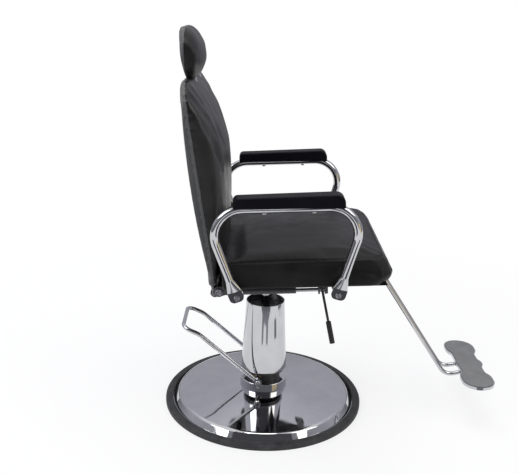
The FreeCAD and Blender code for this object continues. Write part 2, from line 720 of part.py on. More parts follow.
def mount_bolt_places():
    places = []
    for x in ("-(mount_half_width - mount_bolt_inset)", "mount_half_width - mount_bolt_inset"):
        for y in ("-(mount_front - mount_bolt_inset)", "mount_rear - mount_bolt_inset"):
            places.append((x, y))
    return places


def bar_screw_places():
    places = []
    for x in (f"-({BAR_SCREW_X})", BAR_SCREW_X):
        for y in (FRONT_BAR_Y, REAR_BAR_Y):
            places.append((x, y))
    return places


def section(points, arcs):
    """A closed wire through points; arcs gives the middle of a curved side."""
    edges = []
    for i, start in enumerate(points):
        end = points[(i + 1) % len(points)]
        if i in arcs:
            edges.append(Part.Arc(start, arcs[i], end).toShape())
        else:
            edges.append(Part.LineSegment(start, end).toShape())
    return Part.Wire(edges)


def corner_drop(x, half_width, radius):
    """How far a rounded corner has fallen back at x, seen square on."""
    into = max(0.0, abs(x) - (half_width - radius))
    return radius - math.sqrt(max(0.0, radius ** 2 - into ** 2))


def stations(half_width, radius):
    """Where the sections stand across a cushion, closer at its corners."""
    inner = half_width - radius
    share = (0.45, 0.75, 0.92, 0.985)
    right = [inner * 0.5, inner] + [inner + radius * part for part in share]
    return [-x for x in reversed(right)] + [0.0] + right


def lofted(half_width, radius, make_section):
    wires = [make_section(x) for x in stations(half_width, radius)]
    return Part.makeLoft(wires, True, True)


def seat_section(x):
    half = value("seat_half_width")
    corner = value("seat_corner")
    fall = corner_drop(x, half, corner)
    front = -value("seat_front") + fall
    rear = value("seat_rear")
    side = value("seat_side")
    tuck = value("seat_tuck")
    edge = min(1.0, (half - abs(x)) / corner)
    foot = value("seat_draw") * (1 - edge) ** 2
    top = side - foot
    crown = value("seat_crown") * (1 - (x / half) ** 2)
    round_over = side / 8
    points = [
        Vector(x, rear, foot),
        Vector(x, front + tuck, foot),
        Vector(x, front + tuck * 0.75, top - round_over),
        Vector(x, front + tuck * 0.75 + round_over * 1.4, top),
        Vector(x, rear - round_over, top),
        Vector(x, rear, top - round_over),
    ]
    arcs = {
        1: Vector(x, front, side / 2),
        2: Vector(x, front + tuck * 0.75 + round_over * 0.35, top - round_over * 0.3),
        3: Vector(x, (front + rear) / 2, top + crown),
        4: Vector(x, rear - round_over * 0.3, top - round_over * 0.3),
    }
    return section(points, arcs)


def make_seat():
    mount = piece("seat_mount", "placement(vector(0; 0; seat_height); rotation(vector(1; 0; 0); 0))")
    pad(mount, "XY", "-(mount_wall + hub_length)", "-mount_wall / 2", ring("0", "0", "hub_radius"))
    tilted = "placement(vector(0; 0; 0); rotation(vector(1; 0; 0); -seat_tilt))"
    drawing = sketch(mount, "XY", attitude=tilted)
    box("-mount_half_width", "-mount_front", "mount_half_width", "mount_rear", "mount_bolt_inset")(drawing)
    for x, y in mount_bolt_places():
        draw_circle(drawing, x, y, "mount_bolt_radius + seat_gap")
    plate = mount.newObject("PartDesign::Pad", "mount_plate")
    plate.Profile = drawing
    plate.Reversed = True
    plate.setExpression("Length", tied("mount_wall"))
    bore_top = f"-(mount_wall + hub_length) - washer_wall + hub_pin_length + 1"
    pocket(mount, "XY", "-(mount_wall + hub_length) - 1", bore_top, ring("0", "0", "hub_pin_radius + running"))

    bolts = piece("mount_bolts", SEAT)
    heads = [hexagon(x, y, "mount_bolt_radius * 3.2") for x, y in mount_bolt_places()]
    pad(bolts, "XY", "-mount_wall - mount_bolt_radius * 1.3", "-mount_wall", *heads)
    shanks = [ring(x, y, "mount_bolt_radius") for x, y in mount_bolt_places()]
    pad(bolts, "XY", "-mount_wall", "board_wall - 1", *shanks)

    board = piece("seat_board", SEAT)
    board_box = box(
        "-(seat_half_width - board_inset)",
        "-(seat_front - seat_tuck - board_inset)",
        "seat_half_width - board_inset",
        "seat_rear - board_inset / 2",
        "seat_corner * 0.8",
    )
    board_holes = [ring(x, y, "mount_bolt_radius + seat_gap / 3") for x, y in mount_bolt_places()]
    bar_holes = [ring(x, y, "bar_size * 0.14 + seat_gap / 3") for x, y in bar_screw_places()]
    pad(board, "XY", "0", "board_wall", board_box, *board_holes, *bar_holes)

    make_seat_cushion(board)
    make_bars()


def make_seat_cushion(board):
    cushion = lofted(value("seat_half_width"), value("seat_corner"), seat_section)
    inset = value("board_inset - seat_gap")
    half = value("seat_half_width") - inset
    front = value("seat_front - seat_tuck") - inset
    rear = value("seat_rear - board_inset / 2 + seat_gap")
    corner = value("seat_corner * 0.8")
    recess = Part.makeBox(2 * half, front + rear, value("board_wall + seat_gap") + 10, Vector(-half, -front, -10))
    upright = [edge for edge in recess.Edges if abs(edge.tangentAt(edge.FirstParameter).z) > 0.99]
    recess = recess.makeFillet(corner, upright)
    solid("seat_cushion", cushion.cut(recess), SEAT)


def make_bars():
    end = f"{ARM_X} - flat_wall / 2"
    for name, y in (("front_cross_bar", FRONT_BAR_Y), ("rear_cross_bar", REAR_BAR_Y)):
        bar = piece(name, SEAT)
        square = box(f"{y} - bar_size / 2", "-bar_size", f"{y} + bar_size / 2", "0", "bar_size / 10")
        pad(bar, "YZ", f"-({end})", end, square)
        screw_holes = [ring(x, y, "bar_size * 0.14 + seat_gap / 3") for x in (BAR_SCREW_X, f"-({BAR_SCREW_X})")]
        pocket(bar, "XY", "-bar_size - 1", "1", *screw_holes)
        bolt_hole = ring(y, BAR_Z, "arm_bolt_radius + seat_gap / 3")
        pocket(bar, "YZ", f"{end} - bar_size", f"{end} + 1", bolt_hole)
        pocket(bar, "YZ", f"-({end}) - 1", f"-({end}) + bar_size", bolt_hole)

    screws = piece("bar_screws", SEAT)
    shanks = [ring(x, y, "bar_size * 0.14") for x, y in bar_screw_places()]
    heads = [ring(x, y, "bar_size * 0.27") for x, y in bar_screw_places()]
    pad(screws, "XY", "-bar_size", "board_wall - 1", *shanks)
    pad(screws, "XY", "-bar_size * 1.15", "-bar_size", *heads)


# Arms
PAD_FOOT = "arm_top + tube_radius - pad_sink"
PAD_MIDDLE = "-(arm_middle + pad_shift)"


def leg_sketch(body, side, end_sign, height):
    """A sketch across a leg of the arm tube at a height."""
    leg_y = f"-arm_middle + {end_sign} * (arm_reach - (arm_top - ({height})) * tan(arm_lean))"
    turned = f"rotation(vector(1; 0; 0); {-end_sign} * arm_lean) * rotation(vector(0; 0; 1); 90)"
    return sketch(body, "XY", attitude=f"placement(vector({side} * ({ARM_X}); {leg_y}; {height}); {turned})")


def flat_section(body, side, end_sign, height, width, thickness):
    """An ellipse across a leg of the arm tube at a height."""
    drawing = leg_sketch(body, side, end_sign, height)
    half_width = value(width) / 2
    half_wall = value(thickness) / 2
    curve = drawing.addGeometry(Part.Ellipse(Vector(0, 0, 0), half_width, half_wall), False)
    drawing.exposeInternalGeometry(curve)
    pin_point(drawing, curve, 3, "0", "0")
    drawing.addConstraint(Sketcher.Constraint("Horizontal", curve + 1))
    for line, text in ((curve + 1, width), (curve + 2, thickness)):
        rule = drawing.addConstraint(Sketcher.Constraint("Distance", line, value(text)))
        drawing.setExpression(f"Constraints[{rule}]", tied(text))
    return drawing


def make_arm(name, side):
    tube = piece(name, SEAT)
    top = "arm_top"
    leg_end = "arm_reach - (arm_top - flat_start) * tan(arm_lean)"
    for sign in (1, -1):
        route = (
            ("-arm_middle", top),
            (f"-arm_middle + {sign} * arm_reach", top, "arm_bend"),
            (f"-arm_middle + {sign} * ({leg_end})", "flat_start"),
        )
        rings = [ring(f"{side} * ({ARM_X})", top, radius) for radius in ("tube_radius", "tube_radius - tube_wall")]
        pipe(tube, "YZ", f"{side} * ({ARM_X})", route, "arm_middle", *rings)
    for sign in (1, -1):
        round_end = leg_sketch(tube, side, sign, "flat_start")
        draw_circle(round_end, "0", "0", "tube_radius")
        halfway = "(flat_start + flat_end) / 2"
        mid_width = "(tube_radius * 2 + flat_width) / 2"
        middle = flat_section(tube, side, sign, halfway, mid_width, "tube_radius + flat_wall / 2")
        flat_end = flat_section(tube, side, sign, "flat_end", "flat_width", "flat_wall")
        flare = tube.newObject("PartDesign::AdditiveLoft", name + "_flare")
        flare.Profile = round_end
        flare.Sections = [middle, flat_end]
    x_low = f"{side} * ({ARM_X}) - flat_wall / 2"
    x_high = f"{side} * ({ARM_X}) + flat_wall / 2"
    for sign in (1, -1):
        pad(tube, "YZ", x_low, x_high, paddle(sign))
    bolts = [ring(y, BAR_Z, "arm_bolt_radius + seat_gap / 3") for y in (FRONT_BAR_Y, REAR_BAR_Y)]
    pocket(tube, "YZ", f"{x_low} - 1", f"{x_high} + 1", *bolts)
    screw_holes = [ring(f"{side} * ({ARM_X})", y, "pad_screw_radius + seat_gap / 3") for y in pad_screw_rows()]
    pocket(tube, "XY", "arm_top - tube_radius - 1", "arm_top + tube_radius + 1", *screw_holes)


def paddle(sign):
    """The flat end of an arm tube, along its leaning leg and round its bolt."""
    bolt_y = REAR_BAR_Y if sign > 0 else FRONT_BAR_Y
    up = f"((flat_end - ({BAR_Z})) / cos(arm_lean))"

    def at(across, along):
        y = f"({bolt_y}) + ({across}) * cos(arm_lean) + {sign} * ({along}) * sin(arm_lean)"
        z = f"({BAR_Z}) - {sign} * ({across}) * sin(arm_lean) + ({along}) * cos(arm_lean)"
        return y, z

    return outline(
        at("-flat_width / 2", "-flat_foot") + ("flat_width / 3",),
        at("flat_width / 2", "-flat_foot") + ("flat_width / 3",),
        at("flat_width / 2", up),
        at("-flat_width / 2", up),
    )


def pad_screw_rows():
    return [f"{PAD_MIDDLE} - pad_screw_pitch", f"{PAD_MIDDLE} + pad_screw_pitch"]


def make_arm_pad(name, side):
    arm_pad = piece(name, SEAT)
    rear = f"{PAD_MIDDLE} + pad_rear"
    front = f"{PAD_MIDDLE} - pad_front"
    profile = outline(
        (front, f"{PAD_FOOT} - pad_skirt"),
        (rear, PAD_FOOT),
        (rear, f"{PAD_FOOT} + pad_rear_wall", "pad_rear_wall / 2"),
        (front, f"{PAD_FOOT} + pad_front_wall", "pad_front_wall * 0.75"),
    )
    middle_x = f"{side} * ({ARM_X})"
    pad(arm_pad, "YZ", f"{middle_x} - pad_half_width", f"{middle_x} + pad_half_width", profile)
    foot = value(f"{PAD_FOOT} + pad_rear_wall / 4")

    def side_edge(edge):
        """True for the edges of both sides, but not those of the foot."""
        box_of = edge.BoundBox
        return box_of.XLength < 0.01 and box_of.ZMax > foot

    soften(arm_pad, "pad_rear_wall * 0.2", side_edge)
    channel = ring(middle_x, "arm_top", "tube_radius + seat_gap / 3")
    pocket(arm_pad, "XZ", f"{front} - 1", f"{rear} + 1", channel)
    holes = [ring(middle_x, y, "pad_screw_radius + seat_gap / 3") for y in pad_screw_rows()]
    pocket(arm_pad, "XY", f"{PAD_FOOT} - pad_skirt - 1", f"{PAD_FOOT} + pad_rear_wall * 0.6", *holes)


def make_arms():
    for name, side in (("right", -1), ("left", 1)):
        make_arm(f"{name}_arm_tube", side)
        make_arm_pad(f"{name}_arm_pad", side)

    bolts = piece("arm_bolts", SEAT)
    face = f"{ARM_X} + flat_wall / 2"
    inner = f"{ARM_X} - flat_wall / 2 - bar_size * 0.9"
    head = "arm_bolt_radius"
    shanks = [ring(y, BAR_Z, "arm_bolt_radius") for y in (FRONT_BAR_Y, REAR_BAR_Y)]
    heads = [hexagon(y, BAR_Z, "arm_bolt_radius * 3.2") for y in (FRONT_BAR_Y, REAR_BAR_Y)]
    pad(bolts, "YZ", inner, face, *shanks)
    pad(bolts, "YZ", face, f"{face} + {head}", *heads)
    pad(bolts, "YZ", f"-({face})", f"-({inner})", *shanks)
    pad(bolts, "YZ", f"-({face}) - {head}", f"-({face})", *heads)

    screws = piece("pad_screws", SEAT)
    places = [(f"{side} * ({ARM_X})", y) for side in (-1, 1) for y in pad_screw_rows()]
    foot = "arm_top - tube_radius"
    pad(screws, "XY", f"{foot} - pad_screw_radius", foot, *[ring(x, y, "pad_screw_radius * 2") for x, y in places])
    shanks = [ring(x, y, "pad_screw_radius") for x, y in places]
    pad(screws, "XY", foot, f"{PAD_FOOT} + pad_rear_wall * 0.5", *shanks)


# Recline pivot, on the seat's side
PIVOT_Y = "seat_rear + pivot_behind"
PIVOT_Z = "-pivot_drop"
CROSS_HALF = "(seat_half_width - cross_inset)"
BACK_HALF = "(seat_half_width - back_inset)"
LUG_INNER = f"{CROSS_HALF} + 2"
LUG_OUTER = f"{CROSS_HALF} + 2 + lug_wall"


def make_hinge():
    lugs = piece("hinge_lugs", SEAT)
    bar_rear = f"{REAR_BAR_Y} + bar_size / 2"
    web = outline(
        (bar_rear, "-bar_size"),
        (PIVOT_Y, "-pivot_drop - lug_radius"),
        (PIVOT_Y, "-pivot_drop + lug_radius"),
        (bar_rear, "-bar_size / 10"),
    )
    nose = ring(PIVOT_Y, PIVOT_Z, "lug_radius")
    bore = ring(PIVOT_Y, PIVOT_Z, "hinge_bolt_radius + seat_gap / 3")
    for low, high in ((LUG_INNER, LUG_OUTER), (f"-({LUG_OUTER})", f"-({LUG_INNER})")):
        pad(lugs, "YZ", low, high, web)
        pad(lugs, "YZ", low, high, nose)
        pocket(lugs, "YZ", f"{low} - 1", f"{high} + 1", bore)

    bolts = piece("hinge_bolts", SEAT)
    inner = f"{CROSS_HALF} - hinge_bush_length - 4"
    head = "hinge_bolt_radius * 1.2"
    shank = ring(PIVOT_Y, PIVOT_Z, "hinge_bolt_radius")
    hexagonal = hexagon(PIVOT_Y, PIVOT_Z, "hinge_bolt_radius * 3")
    pad(bolts, "YZ", inner, LUG_OUTER, shank)
    pad(bolts, "YZ", LUG_OUTER, f"{LUG_OUTER} + {head}", hexagonal)
    pad(bolts, "YZ", f"-({LUG_OUTER})", f"-({inner})", shank)
    pad(bolts, "YZ", f"-({LUG_OUTER}) - {head}", f"-({LUG_OUTER})", hexagonal)


# Backrest: its own frame stands on the pivot and leans with the back
PIVOT_WORLD_Y = f"({PIVOT_Y}) * cos(seat_tilt) + ({PIVOT_Z}) * sin(seat_tilt)"
PIVOT_WORLD_Z = f"seat_height - ({PIVOT_Y}) * sin(seat_tilt) + ({PIVOT_Z}) * cos(seat_tilt)"
BACK = f"placement(vector(0; {PIVOT_WORLD_Y}; {PIVOT_WORLD_Z}); rotation(vector(1; 0; 0); -back_lean))"
BOARD_REAR = "cross_radius"
BACK_TOP = "back_foot + back_height"
BAR_X = f"{CROSS_HALF} - arm_bar_inset"
GUIDE_Y = "cross_radius - board_wall - guide_size / 2"
GUIDE_TOP = f"{BACK_TOP} - guide_drop"
GUIDE_FOOT = f"{GUIDE_TOP} - guide_length"


def back_section(x):
    half = value(BACK_HALF)
    corner = value("back_corner")
    foot = value("back_foot")
    rear = value(BOARD_REAR)
    top_fall = corner_drop(x, half, corner)
    foot_rise = top_fall * 0.35
    share = 1 - (1 - value("back_side_share")) * (abs(x) / half) ** 3
    height = value("back_height")
    top = foot + height - top_fall
    low = foot + foot_rise
    scale = (top - low) / height

    def at(thick, up):
        return Vector(x, rear - thick * share, low + up * scale)

    bulge = value("back_bulge")
    apex = value("back_apex")
    shoulder = value("back_shoulder")
    foot_thick = value("back_foot_thick")
    top_thick = value("back_top_thick")
    shoulder_thick = bulge * 0.78
    quarter = apex / 2
    sag = (bulge - foot_thick) * 0.25
    points = [
        at(0, 0),
        at(foot_thick * 0.6, 0),
        at(foot_thick, foot_thick * 0.4),
        at(bulge, apex),
        at(shoulder_thick, shoulder),
        at(top_thick, height),
        at(0, height * 0.985),
    ]
    arcs = {
        1: at(foot_thick * 0.9, foot_thick * 0.1),
        2: at(bulge - sag, quarter),
        3: at(bulge * 0.949, (apex + shoulder) / 2),
        4: at(shoulder_thick * 0.7, shoulder + (height - shoulder) * 0.63),
        5: at(top_thick * 0.45, height * 1.0005),
    }
    return section(points, arcs)


def make_back():
    make_back_frame()
    make_crank()

    board = piece("back_board", BACK)
    board_side = f"{BACK_HALF} - back_board_side"
    board_low = "back_foot + back_board_foot"
    board_high = f"{BACK_TOP} - back_board_head"
    bolt_holes = [ring(x, z, "arm_bar_bolt_radius + seat_gap / 3") for x, z in bar_bolt_places()]
    board_box = box(f"-({board_side})", board_low, board_side, board_high, "back_corner * 0.5")
    pad(board, "XZ", f"{BOARD_REAR} - board_wall", BOARD_REAR, board_box, *bolt_holes)

    make_back_cushion()
    make_back_panel()

    guides = piece("post_guides", BACK)
    for side in (-1, 1):
        centre = f"{side} * post_half_pitch"
        square = box(
            f"{centre} - guide_size / 2",
            f"{GUIDE_Y} - guide_size / 2",
            f"{centre} + guide_size / 2",
            f"{GUIDE_Y} + guide_size / 2",
            "guide_size / 10",
        )
        pad(guides, "XY", GUIDE_FOOT, GUIDE_TOP, square, ring(centre, GUIDE_Y, "post_radius + running"))


def make_back_cushion():
    cushion = lofted(value(BACK_HALF), value("back_corner"), back_section)
    gap = value("seat_gap")
    side = value(f"{BACK_HALF} - back_board_side") + gap
    low = value("back_foot + back_board_foot") - gap
    high = value(f"{BACK_TOP} - back_board_head") + gap
    front = value(f"{BOARD_REAR} - board_wall") - gap
    recess = Part.makeBox(2 * side, value("board_wall * 5"), high - low, Vector(-side, front, low))
    upright = [edge for edge in recess.Edges if abs(edge.tangentAt(edge.FirstParameter).y) > 0.99]
    recess = recess.makeFillet(value("back_corner * 0.5"), upright)
    cushion = cushion.cut(recess)
    half = value("guide_size / 2") + gap
    for side_sign in (-1, 1):
        middle = side_sign * value("post_half_pitch")
        corner = Vector(middle - half, value(GUIDE_Y) - half, value(GUIDE_FOOT) - gap)
        cushion = cushion.cut(Part.makeBox(2 * half, 2 * half, value("guide_length") + 2 * gap, corner))
        place = Vector(middle, value(GUIDE_Y), value(GUIDE_TOP))
        cushion = cushion.cut(Part.makeCylinder(value("post_radius") + 3 * gap, value("guide_drop + 20"), place))
    bolt_head = value("arm_bar_bolt_radius * 2.2")
    for x, z in bar_bolt_places():
        place = Vector(value(x), front - value("arm_bar_bolt_radius * 1.5"), value(z))
        cushion = cushion.cut(Part.makeCylinder(bolt_head, 20, place, Vector(0, 1, 0)))
    solid("back_cushion", cushion, BACK)


def make_back_panel():
    """The rear panel: flat against the board, bowed behind, round at its corners."""
    rear = value(BOARD_REAR)
    low = value("back_foot")
    high = value(f"{BACK_TOP} - 4")
    half = value(BACK_HALF)
    edge = value("panel_edge")
    bow = value("panel_rise")
    wires = []
    corner = value("back_corner")
    for x in stations(half, corner):
        fall = corner_drop(x, half, corner)
        foot = low + fall * 0.35
        head = high - fall
        share = 1 - 0.35 * (abs(x) / half) ** 4
        points = [
            Vector(x, rear, foot),
            Vector(x, rear, head),
            Vector(x, rear + edge * share * 0.6, head),
            Vector(x, rear + edge * share, head - edge * 0.7),
            Vector(x, rear + edge * share, foot + edge * 0.7),
            Vector(x, rear + edge * share * 0.6, foot),
        ]
        arcs = {
            2: Vector(x, rear + edge * share * 0.9, head - edge * 0.2),
            3: Vector(x, rear + (edge + bow) * share, (foot + head) / 2),
            4: Vector(x, rear + edge * share * 0.9, foot + edge * 0.2),
        }
        wires.append(section(points, arcs))
    panel = Part.makeLoft(wires, True, True)
    gap = value("seat_gap")
    width = value("arm_bar_width") + 2 * gap
    for side in (-1, 1):
        corner_at = Vector(side * value(BAR_X) - width / 2, rear - 1, -value("arm_bar_up"))
        slot_box = Part.makeBox(width, value("arm_bar_wall") + gap + 1, value("arm_bar_up * 2") + gap, corner_at)
        panel = panel.cut(slot_box)
    solid("back_panel", panel, BACK)


def bar_bolt_places():
    heights = ("back_foot + back_board_foot + 22", "arm_bar_up - 22")
    return [(f"{side} * ({BAR_X})", height) for side in (-1, 1) for height in heights]


def make_back_frame():
    tube = piece("back_cross_tube", BACK)
    inner = "cross_radius - cross_wall"
    pad(tube, "YZ", f"-{CROSS_HALF}", CROSS_HALF, ring("0", "0", "cross_radius"), ring("0", "0", inner))

    bushes = piece("hinge_bushes", BACK)
    loops = (ring("0", "0", f"{inner} - seat_gap / 6"), ring("0", "0", "hinge_bolt_radius + running"))
    pad(bushes, "YZ", f"{CROSS_HALF} - hinge_bush_length", CROSS_HALF, *loops)
    pad(bushes, "YZ", f"-{CROSS_HALF}", f"-{CROSS_HALF} + hinge_bush_length", *loops)

    bars = piece("back_arms", BACK)
    for side in (-1, 1):
        centre = f"{side} * ({BAR_X})"
        face = outline(
            (f"{centre} - arm_bar_width / 2", "-arm_bar_down + arm_bar_width / 3"),
            (f"{centre} - arm_bar_width / 6", "-arm_bar_down"),
            (f"{centre} + arm_bar_width / 6", "-arm_bar_down"),
            (f"{centre} + arm_bar_width / 2", "-arm_bar_down + arm_bar_width / 3"),
            (f"{centre} + arm_bar_width / 2", "arm_bar_up", "arm_bar_width / 4"),
            (f"{centre} - arm_bar_width / 2", "arm_bar_up", "arm_bar_width / 4"),
        )
        pad(bars, "XZ", BOARD_REAR, f"{BOARD_REAR} + arm_bar_wall", face)
    holes = [ring(x, z, "arm_bar_bolt_radius + seat_gap / 3") for x, z in bar_bolt_places()]
    pocket(bars, "XZ", f"{BOARD_REAR} - 1", f"{BOARD_REAR} + arm_bar_wall + 1", *holes)

    bolts = piece("back_arm_bolts", BACK)
    front = f"{BOARD_REAR} - board_wall"
    shanks = [ring(x, z, "arm_bar_bolt_radius") for x, z in bar_bolt_places()]
    heads = [ring(x, z, "arm_bar_bolt_radius * 2") for x, z in bar_bolt_places()]
    pad(bolts, "XZ", front, f"{BOARD_REAR} + arm_bar_wall", *shanks)
    pad(bolts, "XZ", f"{front} - arm_bar_bolt_radius", front, *heads)


# The crank stands at its own angle about the pivot
CRANK_TURN = "rotation(vector(1; 0; 0); crank_start - seat_tilt)"
CRANK = f"placement(vector(-strut_x; {PIVOT_WORLD_Y}; {PIVOT_WORLD_Z}); {CRANK_TURN})"
CRANK_INNER = "eye_width / 2 + 1"
CRANK_OUTER = "eye_width / 2 + 1 + crank_wall"


def make_crank():
    fork = piece("crank_fork", CRANK)
    web = outline(
        ("-(cross_radius + 4) * 0.94", "0"),
        ("-(crank_pin_radius + 5) * 0.94", "-crank_length"),
        ("(crank_pin_radius + 5) * 0.94", "-crank_length"),
        ("(cross_radius + 4) * 0.94", "0"),
    )
    for low, high in ((CRANK_INNER, CRANK_OUTER), (f"-({CRANK_OUTER})", f"-({CRANK_INNER})")):
        pad(fork, "YZ", low, high, web)
        pad(fork, "YZ", low, high, ring("0", "0", "cross_radius + 4"))
        pad(fork, "YZ", low, high, ring("0", "-crank_length", "crank_pin_radius + 5"))
        pocket(fork, "YZ", f"{low} - 1", f"{high} + 1", ring("0", "0", "cross_radius + seat_gap / 6"))
        pin_bore = ring("0", "-crank_length", "crank_pin_radius + seat_gap / 6")
        pocket(fork, "YZ", f"{low} - 1", f"{high} + 1", pin_bore)

    pin = piece("crank_pin", CRANK)
    pad(pin, "YZ", f"-({CRANK_OUTER})", CRANK_OUTER, ring("0", "-crank_length", "crank_pin_radius"))
    head = ring("0", "-crank_length", "crank_pin_radius * 1.5")
    pad(pin, "YZ", CRANK_OUTER, f"{CRANK_OUTER} + 2", head)
    pad(pin, "YZ", f"-({CRANK_OUTER}) - 2", f"-({CRANK_OUTER})", head)


# Headrest
HEAD_FOOT = f"{BACK_TOP} + head_gap"
HEAD_BOARD_FRONT = f"{GUIDE_Y} + post_radius"


def head_section(x):
    half = value("head_half_width")
    corner = value("head_corner")
    fall = corner_drop(x, half, corner)
    foot = value(HEAD_FOOT) + fall * 0.55
    head = value(HEAD_FOOT) + value("head_height") - fall
    height = head - foot
    rear = value("head_rear")
    share = 1 - 0.37 * (abs(x) / half) ** 3
    depth = (value("head_front") + rear) * share

    def at(thick, up):
        return Vector(x, rear - depth * thick, foot + height * up)

    points = [at(0, 0.02), at(0.42, 0), at(0.99, 0.46), at(0.86, 0.72), at(0.25, 1), at(0, 0.985)]
    arcs = {
        1: at(0.83, 0.15),
        2: at(0.985, 0.61),
        3: at(0.6, 0.895),
        4: at(0.12, 1.003),
    }
    return section(points, arcs)


def make_headrest():
    posts = piece("headrest_posts", BACK)
    foot = f"{GUIDE_FOOT} + 8"
    top = f"{HEAD_FOOT} + head_height * 0.62"
    for side in (-1, 1):
        pad(posts, "XY", foot, top, ring(f"{side} * post_half_pitch", GUIDE_Y, "post_radius"))

    board = piece("headrest_board", BACK)
    side = "head_half_width * 0.7"
    low = f"{HEAD_FOOT} + head_height * 0.2"
    high = f"{HEAD_FOOT} + head_height * 0.8"
    board_box = box(f"-({side})", low, side, high, "head_corner / 3")
    pad(board, "XZ", HEAD_BOARD_FRONT, "head_rear", board_box)

    cushion = lofted(value("head_half_width"), value("head_corner"), head_section)
    gap = value("seat_gap")
    half = value(side) + gap
    front = value(HEAD_BOARD_FRONT) - gap
    floor = value(low) - gap
    recess = Part.makeBox(2 * half, value("board_wall * 5"), value(high) + gap - floor, Vector(-half, front, floor))
    cushion = cushion.cut(recess)
    for sign in (-1, 1):
        place = Vector(sign * value("post_half_pitch"), value(GUIDE_Y), value(HEAD_FOOT) - 5)
        hole = Part.makeCylinder(value("post_radius") + gap, value(top) + gap + 5 - value(HEAD_FOOT), place)
        cushion = cushion.cut(hole)
    solid("headrest_cushion", cushion, BACK)
    make_head_panel()


def make_head_panel():
    """The headrest's rear panel, bowed behind and round at its corners."""
    rear = value("head_rear")
    wall = value("head_panel")
    half = value("head_half_width")
    corner = value("head_corner")
    wires = []
    for x in stations(half, corner):
        fall = corner_drop(x, half, corner)
        foot = value(HEAD_FOOT) + fall * 0.55 + 1
        head = value(HEAD_FOOT) + value("head_height") * 0.985 - fall
        share = 1 - 0.4 * (abs(x) / half) ** 3
        points = [
            Vector(x, rear, foot),
            Vector(x, rear, head),
            Vector(x, rear + wall * share * 0.6, head - wall),
            Vector(x, rear + wall * share * 0.7, foot + wall * 0.5),
        ]
        arcs = {
            1: Vector(x, rear + wall * share * 0.38, head - wall * 0.38),
            2: Vector(x, rear + wall * share, (foot + head) / 2),
            3: Vector(x, rear + wall * share * 0.45, foot + wall * 0.12),
        }
        wires.append(section(points, arcs))
    panel = Part.makeLoft(wires, True, True)
    solid("headrest_panel", panel, BACK)


# Strut: its frame lies on the strut's axis, on the seat, at the eye's centre
EYE_Y = f"{PIVOT_Y} + crank_length * sin(crank_start)"
STRUT_Z = f"{PIVOT_Z} - strut_drop"
STRUT_REAR = f"{EYE_Y} - crank_pin_radius - eye_slack - eye_wall - eye_neck"
STRUT_FRONT = f"{STRUT_REAR} - strut_length"
HEAD_REAR = f"{STRUT_FRONT} - strut_gap"
HEAD_FRONT = f"{HEAD_REAR} - head_block"


def strut_turn(body, *corners):
    """Turn an outline of (y, radius) corners about the strut's axis."""
    place = f"placement(vector(0; 0; -strut_x); rotation(vector(0; 0; 1); 0))"
    drawing = sketch(body, "YZ", attitude=place)
    outline(*((y, f"{STRUT_Z} + {radius}") for y, radius in corners))(drawing)
    first = Vector(value(corners[0][0]), value(STRUT_Z), 0)
    axis = drawing.addGeometry(Part.LineSegment(first, first + Vector(50, 0, 0)), True)
    pin_point(drawing, axis, 1, corners[0][0], STRUT_Z)
    pin_point(drawing, axis, 2, f"{corners[0][0]} + 50", STRUT_Z)
    feature = body.newObject("PartDesign::Revolution", body.Name + "_turned")
    feature.Profile = drawing
    feature.ReferenceAxis = (drawing, ["Axis0"])
    feature.Angle = 360
    return feature


def make_strut():
    cylinder = piece("gas_cylinder", SEAT)
    strut_turn(
        cylinder,
        (STRUT_FRONT, "gas_rod_radius + running"),
        (STRUT_FRONT, "strut_radius"),
        (STRUT_REAR, "strut_radius"),
        (STRUT_REAR, "0"),
        (f"{STRUT_REAR} - strut_end", "0"),
        (f"{STRUT_REAR} - strut_end", "strut_radius - strut_wall"),
        (f"{STRUT_FRONT} + strut_end", "strut_radius - strut_wall"),
        (f"{STRUT_FRONT} + strut_end", "gas_rod_radius + running"),
    )
    x_low = "-strut_x - eye_width / 2"
    x_high = "-strut_x + eye_width / 2"
    eye_outer = "crank_pin_radius + eye_slack + eye_wall"
    neck = box(f"{STRUT_REAR} - 1", f"{STRUT_Z} - eye_width / 3", EYE_Y, f"{STRUT_Z} + eye_width / 3")
    pad(cylinder, "YZ", x_low, x_high, neck)
    pad(cylinder, "YZ", x_low, x_high, ring(EYE_Y, STRUT_Z, eye_outer))
    hole = ring(EYE_Y, STRUT_Z, "crank_pin_radius + eye_slack")
    pocket(cylinder, "YZ", f"{x_low} - 1", f"{x_high} + 1", hole)

    rod = piece("gas_rod", SEAT)
    strut_turn(
        rod,
        (HEAD_REAR, "0"),
        (HEAD_REAR, "gas_rod_radius"),
        (f"{STRUT_FRONT} + piston_depth", "gas_rod_radius"),
        (f"{STRUT_FRONT} + piston_depth", "strut_radius - strut_wall - running"),
        (f"{STRUT_FRONT} + piston_depth + piston_wall", "strut_radius - strut_wall - running"),
        (f"{STRUT_FRONT} + piston_depth + piston_wall", "0"),
    )
    make_release()


# Release head and lever, about the lever's pivot
LEVER_Y = f"{HEAD_REAR} - head_block / 2"
LEVER_EYE = "lever_pin_radius * 2"
SLOT_HALF = "lever_slot / 2"
LEVER = f"{SEAT} * placement(vector(-strut_x; {LEVER_Y}; {STRUT_Z}); rotation(vector(0; 1; 0); lever_outward))"
LEAN = "placement(vector(0; 0; 0); rotation(vector(1; 0; 0); -lever_forward))"
LEANING = LEAN + " * placement(vector(0; 0; {0}); rotation(vector(1; 0; 0); 0))"


